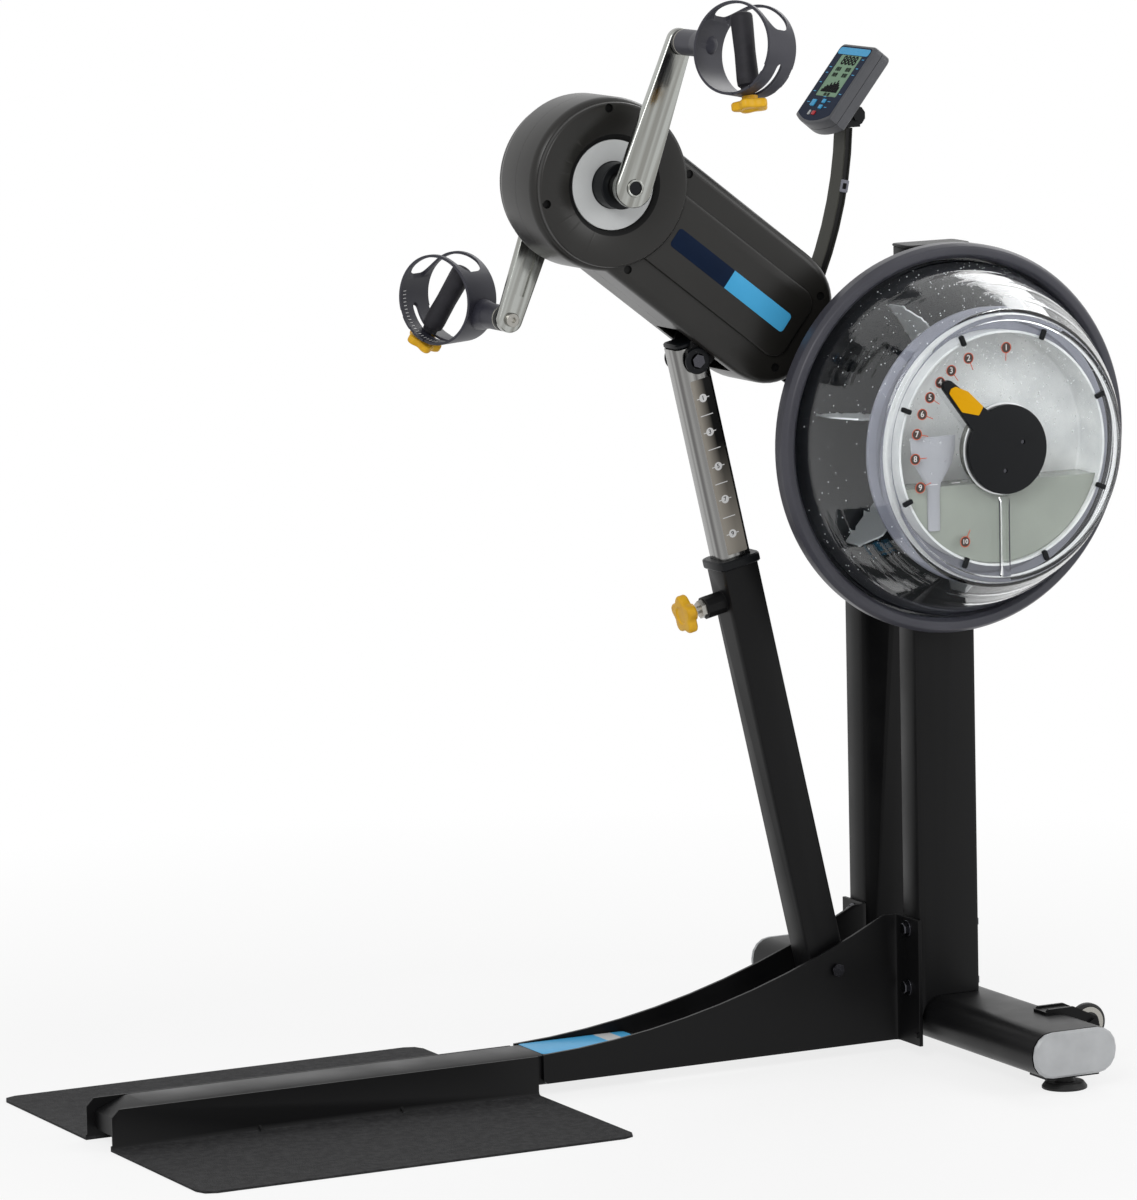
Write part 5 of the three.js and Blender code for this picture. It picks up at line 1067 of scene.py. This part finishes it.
def guard_ring(lift):
    hoop_line = [
        (hoop_inside, -hoop_half), (hoop_outside, -hoop_half, 1), (hoop_outside, hoop_half, 1),
        (hoop_inside, hoop_half),
    ]
    hoop = lathe(hoop_line, 160)
    window = moved(slab(round_box(96, 44, 16, steps=10), 0, 62), turn("Y", 4))
    slot = moved(slab(round_box(80, 10, 4.9, steps=10), -62, 0), turn("Y", -35))
    notches = []
    for degrees in (16, 43, 70):
        for low, high in ((-29, -26.5), (26.5, 29)):
            notches.append(moved(block((-4.5, 4.5), (low, high), (-62, -51)), turn("Y", -degrees)))
    ring = moved(carve(hoop, window, slot, *notches), hoop_frame(lift))
    sleeve_line = [
        (0, 1.5), (16.5, 1.5, 1), (16.5, 8), (15.6, 8.3), (15.6, 10.3), (16.5, 10.6), (16.5, 50, 20), (20, 70, 10),
        (21, 88), (0, 88),
    ]
    sleeve = lathe(sleeve_line, 64, closed=False)
    inside = moved(rod(hoop_inside, -40, 40, 160), hoop_frame(lift))
    cap = lathe([(0, 58), (14, 58), (14, 71, 6), (9, 76, 8), (0, 76)], 48, closed=False, steps=8)
    bore = rod(10.1, -2, 58)
    return carve(weld(ring, carve(sleeve, inside), cap), bore)


sleeve_inlays = [
    (black_rubber, lambda face: -face.calc_center_median().y < 8.1),
    (zinc, lambda face: 8.1 < -face.calc_center_median().y < 10.5),
]
print("hoops", 2 * hoop_outside, "mm across")

# %% Crank pins and tick marks
pin_line = [(0, -18.3), (9, -18.3, 1.2), (9, -12.3), (6, -12.3), (6, 2.2), (9.6, 2.2), (9.6, 55.8), (0, 55.8)]
tick_step = 5


def crank_pin():
    socket = moved(slab(hexagon(4), -19, -14.3), SIDEWAYS)
    return carve(lathe(pin_line, 48, closed=False), socket)


def tick_marks():
    size = (-0.45, 0.45), (18, 23), (-hoop_inside + 0.1, -hoop_inside + 0.5)
    return gather(*[moved(block(*size), turn("Y", -degrees)) for degrees in range(4, 104, tick_step)])


print("pins", round(pin_line[-1][1] - pin_line[0][1], 1), "mm long, tick marks", tick_step, "degrees apart")

# %% Foam grips
grip_radius = 14
grip_line = [
    (0, -12), (4, -12), (4, 0), (9.5, 0, 0.5), (10, 6, 1), (13.4, 9, 2), (grip_radius, 16, 6), (13.2, 50, 40),
    (grip_radius, 86, 10), (grip_radius, 100, 6), (0, 100),
]


def foam_grip():
    return moved(lathe(grip_line, 64, closed=False, steps=8), UPRIGHT)


print("grips", 2 * grip_radius, "mm thick")

# %% Star knobs
def star_knob(radius, lobe, top, edge, neck, dish, sunk, stud, stud_depth):
    """A knob with five lobes on a round neck, dished on top, with a blind hole for its stud."""
    body = weld(slab(star(radius, lobe, 5), 6, top, edge, 4), moved(rod(neck, 0, 7), UPRIGHT))
    dish_line = [(0, top - sunk), (dish, top - sunk, 2), (dish + 3, top + 0.5), (0, top + 0.5)]
    hollow = moved(lathe(dish_line, 48, closed=False), UPRIGHT)
    return carve(body, hollow, moved(rod(stud, -1, stud_depth, 32), UPRIGHT))


def grip_knob():
    knob = star_knob(24, 3, 17, 3.2, neck=10, dish=8, sunk=1.4, stud=4.4, stud_depth=12)
    return moved(knob, turn("X", 180))


print("knobs 48 mm across")

# %% Both handles
crank_radians = math.radians(crank_angle)
pin_reach = Vector((crank_reach * math.sin(crank_radians), crank_reach * math.cos(crank_radians)))
handles = {"right": (1, 0, 11, 0, -18), "left": (-1, 180, 0, 18, -36)}  # way, face, roll, lift and grip's lean
for side, (way, face, roll, lift, lean) in handles.items():
    pin_place = spindle_place + Vector((way * pin_reach.x, -way * crank_face, way * pin_reach.y))
    handle_frame = at(*pin_place) @ turn("Y", roll) @ turn("Z", face)
    ring, stands_for = guard_ring(lift), [f"guard_ring_{side}"]
    put(f"ring_{side}", ring, handle_frame, slate_nylon, f"handle_{side}", stands_for, inlays=sleeve_inlays)
    put(f"pin_{side}", crank_pin(), handle_frame, zinc, "cranks", [f"handle_pin_{side}"])
    ring_frame = handle_frame @ hoop_frame(lift)
    if side == "left":
        put("ring_ticks", tick_marks(), ring_frame, white_ink, "handle_left")
    grip_frame = ring_frame @ turn("Y", lean)
    grip_place, stands_for = grip_frame @ at(0, 0, -53.4), [f"grip_{side}"]
    put(f"foam_grip_{side}", foam_grip(), grip_place, grip_foam, f"grip_{side}", stands_for)
    knob_place, stands_for = grip_frame @ at(0, 0, -58.8), [f"grip_knob_{side}"]
    put(f"star_knob_{side}", grip_knob(), knob_place, yellow_nylon, f"knob_{side}", stands_for)
print(len(handles), "handles with grips and knobs")

# %% [markdown]
# ## Console
# The case is a grey ABS box with a bowed lower edge and a parting groove round its sides. Its face carries a
# navy printed film with a pale blue strip, a liquid crystal window and five keys. The film could be a colour
# on the face, but it is a layer with an edge that shows. So it is a thin slab, cut from the case's own
# outline, and its border stays even. The screen's digits come from Blender's font, as the dial's numbers do.

# %% Console case
console_tilt = math.radians(39)
console_frame = Matrix((
    (0, math.sin(console_tilt), -math.cos(console_tilt), tank_x - 95),
    (-1, 0, 0, 0),
    (0, math.cos(console_tilt), math.sin(console_tilt), 1265),
    (0, 0, 0, 1),
))


def case_outline(inset):
    half, top, bottom, corner = 46 - inset, 56 - inset, -57 + inset, max(8 - inset / 2, 1)
    line = arc(corner, 0, math.pi / 2, 6, half - corner, top - corner)
    line += arc(corner, math.pi / 2, math.pi, 6, -half + corner, top - corner)
    return line + [(-half, bottom)] + bow((-half, bottom), (0, bottom - 22), (half, bottom), 16)


key_places = {  # the middle's x and y, then width and height
    "key_square": (-18, -37, 10, 10), "key_up": (6, -33, 8, 6), "key_down": (6, -42, 8, 6),
    "key_white": (-12, -52, 4, 7), "key_red": (-1, -52, 8, 6),
}
case = slab(case_outline, -28, 0, 4, 4)
groove = carve(slab(lambda inset: case_outline(-1), -13.8, -13), slab(lambda inset: case_outline(0.8), -15, -12))
screen_hole = round_box(53.6, 64.6, 2, y=6.5)
window = slab(screen_hole, -2, 1)
wells = [slab(round_box(w + 0.7, h + 0.7, 1.5, x, y), -2.6, 1) for x, y, w, h in key_places.values()]
pivot = console_frame.inverted() @ Vector((tank_x - 74, 0, 1219))
to_pivot = at(0, pivot.y, pivot.z) @ turn("Z", 90)
ear_radius, ear_half = 11, 5.8
ear = moved(rod(ear_radius, -ear_half, ear_half), to_pivot)
ear_stem = block((-ear_half, ear_half), (pivot.y - ear_radius, pivot.y + ear_radius), (pivot.z, -27))
ear_bore = moved(rod(4.4, -9, 9, 32), to_pivot)
case = carve(weld(case, ear, ear_stem), groove, window, *wells, ear_bore)
put("case", case, console_frame, case_abs, "console", ["console_case"])
print("case 92 mm wide")

# %% Printed film and screen
def film(inset):
    return case_outline(inset + 4.4)


openings = [slab(screen_hole, -1, 2)]
openings += [slab(round_box(w + 1.5, h + 1.5, 1.8, x, y), -1, 2) for x, y, w, h in key_places.values()]
put("case_film", carve(slab(film, 0.05, 0.3), *openings), console_frame, navy_print, "console")
strip = slab(round_box(80, 10.5, 4.5, y=44.2), 0.31, 0.5)
put("case_strip", strip, console_frame, sky_print, "console")

lcd_glass = moulded_plastic("liquid_crystal_window", "#8cab90", "#84a388", 0.5, 0.8, 0.0, level=0.08)
screen = slab(round_box(53, 64, 2, y=6.5), -1.7, -0.1, 0.2)
put("screen", screen, console_frame, lcd_glass, "console", ["console_screen"])
print("film, strip and screen")

# %% Digits and bars on the screen
ink = [moved(numeral("8888", 19, 0.1, 0.5), at(2, 30, 0.02))]
for y in (16.5, 7.5):
    ink += [moved(numeral("888", 8.5, 0.1, 0.25), at(x, y, 0.02)) for x in (-12, 13)]
heights = [5, 9, 12, 11, 16, 13, 18, 15, 21, 17, 14, 10]
for k, height in enumerate(heights):
    x = -21 + 3.5 * k
    ink.append(block((x, x + 3.2), (-19, -19 + 0.9 * height), (-0.05, 0.06)))
ink.append(moved(numeral("88 88", 6.5, 0.1, 0.2), at(0, -22.6, 0.02)))
put("screen_ink", gather(*ink), console_frame, black_ink, "console")
print("four lines of digits and", len(heights), "bars")

# %% Keys and the film's tick lines
key_paint = {"key_square": sky_print, "key_up": sky_print, "key_down": sky_print, "key_white": pale_abs}
red_rubber = moulded_plastic("red_moulded_rubber", "#c8202c", "#b51a26", 0.45, 0.7, 0.02)
for name, (x, y, w, h) in key_places.items():
    cap = slab(round_box(w, h, 1.2, x, y), -1.2, 1.4, 0.5)
    put(name + "_cap", cap, console_frame, key_paint.get(name, red_rubber), name, [name])
ink_layer = (0.31, 0.4)
ticks = [block((31, 37), (y, y + 1.2), ink_layer) for y in (33, 19, 9, -21)]
ticks += [block((-37, -31), (y, y + 1.2), ink_layer) for y in (18, 9, -6, -20)]
ticks += [block((x, x + 7), (y, y + 1), ink_layer) for x, y in ((-35, -37), (15, -33.5), (15, -42.5), (-3, -27))]
put("case_ticks", gather(*ticks), console_frame, sky_print, "console")
print(len(key_places), "keys and", len(ticks), "tick lines")

# %% [markdown]
# ## Leg scale and pull knob
# The chromed inner tube has a printed scale on the user's right: a brown-grey film that fades to black
# towards the back, with the numbers 1, 3, 5, 7 and 9 in white discs and short strokes between. The fade
# follows the leg, so the film's material turns its coordinates to the leg's direction first. A yellow star
# knob pulls the spring pin, and is made like the grips' knobs, a little larger.

# %% Leg scale
def fading_film(low_end, fade_from):
    """Brown-grey that fades to black towards the back, but less at the low end. Both places are in metres."""
    material, tree, shader, place = start_material("fading_scale_film", "#4a4642", 0.4, Specular_IOR_Level=0.2)
    across = add_node(tree, "ShaderNodeMapping", {"Vector": place, "Rotation": along_leg}).outputs["Vector"]
    x = add_node(tree, "ShaderNodeSeparateXYZ", {"Vector": across}).outputs["X"]
    z = add_node(tree, "ShaderNodeSeparateXYZ", {"Vector": across}).outputs["Z"]
    height = spread(tree, z, 0.3, 1.0, low_end + 0.03, low_end + 0.15)
    side = spread(tree, x, 0.0, 1.0, fade_from, fade_from + 0.016)
    both = add_node(tree, "ShaderNodeMath", {0: height, 1: side}, operation="MULTIPLY").outputs[0]
    tree.links.new(mixed(tree, both, linear("#a39d93"), linear("#060606")), shader.inputs["Base Color"])
    return material


leg_foot = Vector((0.31615, 0, 0.118))
level_leg = Matrix.Rotation(along_leg[1], 3, "Y") @ leg_foot
scale_film = fading_film(low_end=level_leg.z + 0.562, fade_from=level_leg.x - 0.010)
scale_panel = moved(slab(round_box(28.6, 232, 2, x=1.3, y=682), 21.02, 21.10), SIDEWAYS)
put("leg_scale", scale_panel, leg_frame, scale_film, "leg_upper")
# Places of the marks: x from the tank's shaft and z from the floor.
numbered = {1: (-307, 873), 3: (-298, 829), 5: (-287, 784), 7: (-278, 741), 9: (-268, 696)}
between = [(-302, 851), (-292, 807), (-283, 762), (-273, 718)]


def leg_spot(x, z):
    return leg_frame.inverted() @ Vector((tank_x + x, 0, z))


def stroke():
    return block((-9, 9), (-21.16, -21.12), (-0.6, 0.6))


white, dark = [], []
for number, place in numbered.items():
    spot = leg_spot(*place)
    white.append(moved(gather(rod(5.4, 21.12, 21.17, 32), stroke()), at(spot.x, 0, spot.z)))
    dark.append(moved(numeral(str(number), 8, 0.04, 0.1), SIDEWAYS, at(spot.x, -21.21, spot.z)))
for place in between:
    spot = leg_spot(*place)
    white.append(moved(stroke(), at(spot.x, 0, spot.z)))
put("scale_marks", gather(*white), leg_frame, white_ink, "leg_upper")
put("scale_numbers", gather(*dark), leg_frame, black_ink, "leg_upper")
print("scale numbers", *numbered)

# %% Pull knob
pull = star_knob(26, 2.8, 19, 3.4, neck=11, dish=10, sunk=1.6, stud=5.3, stud_depth=8.3)
pull_place = leg_frame @ at(-68.3, 0, 505) @ turn("Y", -90)
put("pull_star", pull, pull_place, yellow_nylon, "lock_pin", ["pull_knob"])
print("pull knob 52 mm across")

# %% [markdown]
# ## Bolts, feet and wheels
# Blackened hexagon bolts with washers go through the cheeks' flanges and the uprights, and have nuts behind.
# The two levelling feet are wide rubber pads on a stem, and two small wheels behind the stabiliser roll the
# machine away. Flat facets would show on rims this small, so all of them are turned or raised again.

# %% Bolts through the cheeks' flanges
washer_line = [(0, 0), (11, 0), (11, 1.6, 0.5), (0, 1.6)]
bolts = []
for x, way in ((405.85, -90), (501.15, 90)):
    for y, z in ((-71.5, 90), (-71.5, 167), (71.5, 90), (71.5, 167)):
        washer = moved(lathe(washer_line, 48, closed=False), UPRIGHT)
        bolt = weld(slab(hexagon(8.5), 0.5, 7.7, 1.5), washer)
        bolts.append(moved(bolt, at(x, y, z) @ turn("Y", way)))
put("frame_bolts", gather(*bolts), UNMOVED, black_oxide, "base")
print(len(bolts), "bolt heads and nuts")

# %% Feet and wheels
foot_radius, wheel_radius = 29, 25
foot_line = [
    (0, 0), (foot_radius, 0, 1), (foot_radius, 3, 1), (24.5, 9, 2), (12, 9, 1), (12, 15, 1), (6, 15), (6, 46),
    (0, 46),
]
tread_line = [
    (5.3, -9), (10, -9, 1), (13, -6, 2), (20, -6, 2), (22, -6, 1), (wheel_radius, -4, 3), (wheel_radius, 4, 3),
    (22, 6, 1), (20, 6, 2), (13, 6, 2), (10, 9, 1), (5.3, 9),
]
rim_line = [(14, 6.1), (20.5, 6.1, 0.3), (20.5, 6.5, 0.3), (14, 6.5)]
for side, way in (("right", -1), ("left", 1)):
    foot, stands_for = moved(lathe(foot_line, 64, closed=False), UPRIGHT), [f"levelling_foot_{side}"]
    foot_place = at(tank_x + 19, way * 350, 0)
    put(f"foot_pad_{side}", foot, foot_place, black_rubber, f"foot_{side}", stands_for)
    wheel, stands_for = lathe(tread_line, 64), [f"transport_wheel_{side}"]
    wheel_place = at(tank_x + 104, way * 264, 60)
    put(f"wheel_tread_{side}", wheel, wheel_place, black_rubber, f"wheel_{side}", stands_for)
    rims = gather(*[moved(lathe(rim_line, 64), facing) for facing in SIDES.values()])
    put(f"wheel_rim_{side}", rims, wheel_place, zinc, f"wheel_{side}")
print("feet", 2 * foot_radius, "mm and wheels", 2 * wheel_radius, "mm across")

# %% [markdown]
# ## The rail's film
# A pale blue printed film lies on the rail in front of the cheeks, with a paler band across it. The rail is
# one CAD piece and keeps its own finish, so the film and its band are thin slabs that lie on it.

# %% Rail label
label_length, label_width = 151, 72
label = slab(round_box(label_length, label_width, 4, x=tank_x - 487.5), 53.6, 53.9, 0.1)
band = slab(round_box(24, label_width, 0.5, x=tank_x - 443), 53.91, 54.0)
put("rail_label", label, UNMOVED, sky_print, "base")
put("rail_label_band", band, UNMOVED, pale_abs, "base")
print("label", label_length, "by", label_width, "mm")

# %% [markdown]
# ## Floor, light and backdrop
# The photograph is lit from above with wide soft boxes on white. Area lamps stand in for them, with a white
# world. More light would whiten the floor, but it would also wash out the machine. So the floor glows white
# only for rays that are seen, less so near the machine, where its own shading keeps the soft shadow.

# %% Floor
def seen_rays(tree):
    """1 for rays that are seen: by the camera, in a mirror or through glass."""
    rays = add_node(tree, "ShaderNodeLightPath").outputs
    settings = {0: rays["Is Camera Ray"], 1: rays["Is Glossy Ray"]}
    direct = add_node(tree, "ShaderNodeMath", settings, operation="MAXIMUM").outputs[0]
    settings = {0: direct, 1: rays["Is Transmission Ray"]}
    return add_node(tree, "ShaderNodeMath", settings, operation="MAXIMUM").outputs[0]


floor_radius = 40  # metres, so that its edge lies far behind the machine
floor_mesh = bpy.data.meshes.new("studio_floor")
floor_shape = bmesh.new()
bmesh.ops.create_circle(floor_shape, cap_ends=True, segments=96, radius=floor_radius)
floor_shape.to_mesh(floor_mesh)
floor_shape.free()
floor = bpy.data.objects.new("studio_floor", floor_mesh)
bpy.context.scene.collection.objects.link(floor)

fade_start, fade_end = 0.8, 2.0  # metres from the middle of the floor
floor_paint, tree, shader, place = start_material("pale_floor_paint", "#f4f4f4", 0.7)
out = add_node(tree, "ShaderNodeVectorMath", {0: place}, operation="LENGTH").outputs["Value"]
whiteness = spread(tree, out, 0.8, 1.0, fade_start, fade_end)
seen = add_node(tree, "ShaderNodeMath", {0: whiteness, 1: seen_rays(tree)}, operation="MULTIPLY").outputs[0]
glow = add_node(tree, "ShaderNodeEmission", {"Color": linear("#ffffff"), "Strength": 1.0})
both = add_node(tree, "ShaderNodeMixShader", {0: seen, 1: shader.outputs[0], 2: glow.outputs[0]})
tree.links.new(both.outputs[0], tree.nodes["Material Output"].inputs["Surface"])
floor_mesh.materials.append(floor_paint)
print("floor fades to white between", fade_start, "and", fade_end, "m")

# %% World and lamps
world = bpy.data.worlds.new("white_studio")
bpy.context.scene.world = world
world.use_nodes = True
tree = world.node_tree
background = tree.nodes["Background"]
background.inputs["Color"].default_value = linear("#ffffff")
lit_strength, seen_strength = 0.42, 1.0
strength = spread(tree, seen_rays(tree), lit_strength, seen_strength, 0.0, 1.0)
tree.links.new(strength, background.inputs["Strength"])


def soft_box(name, place, aim, size, watts):
    light = bpy.data.lights.new(name, "AREA")
    light.shape = "RECTANGLE"
    light.size, light.size_y = size
    light.energy = watts
    lamp = bpy.data.objects.new(name, light)
    turned_to = (Vector(aim) - Vector(place)).to_track_quat("-Z", "Y").to_matrix().to_4x4()
    lamp.matrix_world = Matrix.Translation(place) @ turned_to
    bpy.context.scene.collection.objects.link(lamp)


soft_box("key_soft_box", (-2.6, -3.0, 3.2), (0, 0, 0.7), (1.8, 1.8), 70)
soft_box("fill_soft_box", (3.2, -2.4, 2.0), (0, 0, 0.7), (1.6, 2.2), 30)
soft_box("back_soft_box", (2.8, 2.0, 3.2), (0, 0, 0.8), (2.2, 1.6), 34)
bpy.context.scene.view_settings.view_transform = "Standard"
print("three soft boxes and a white world")
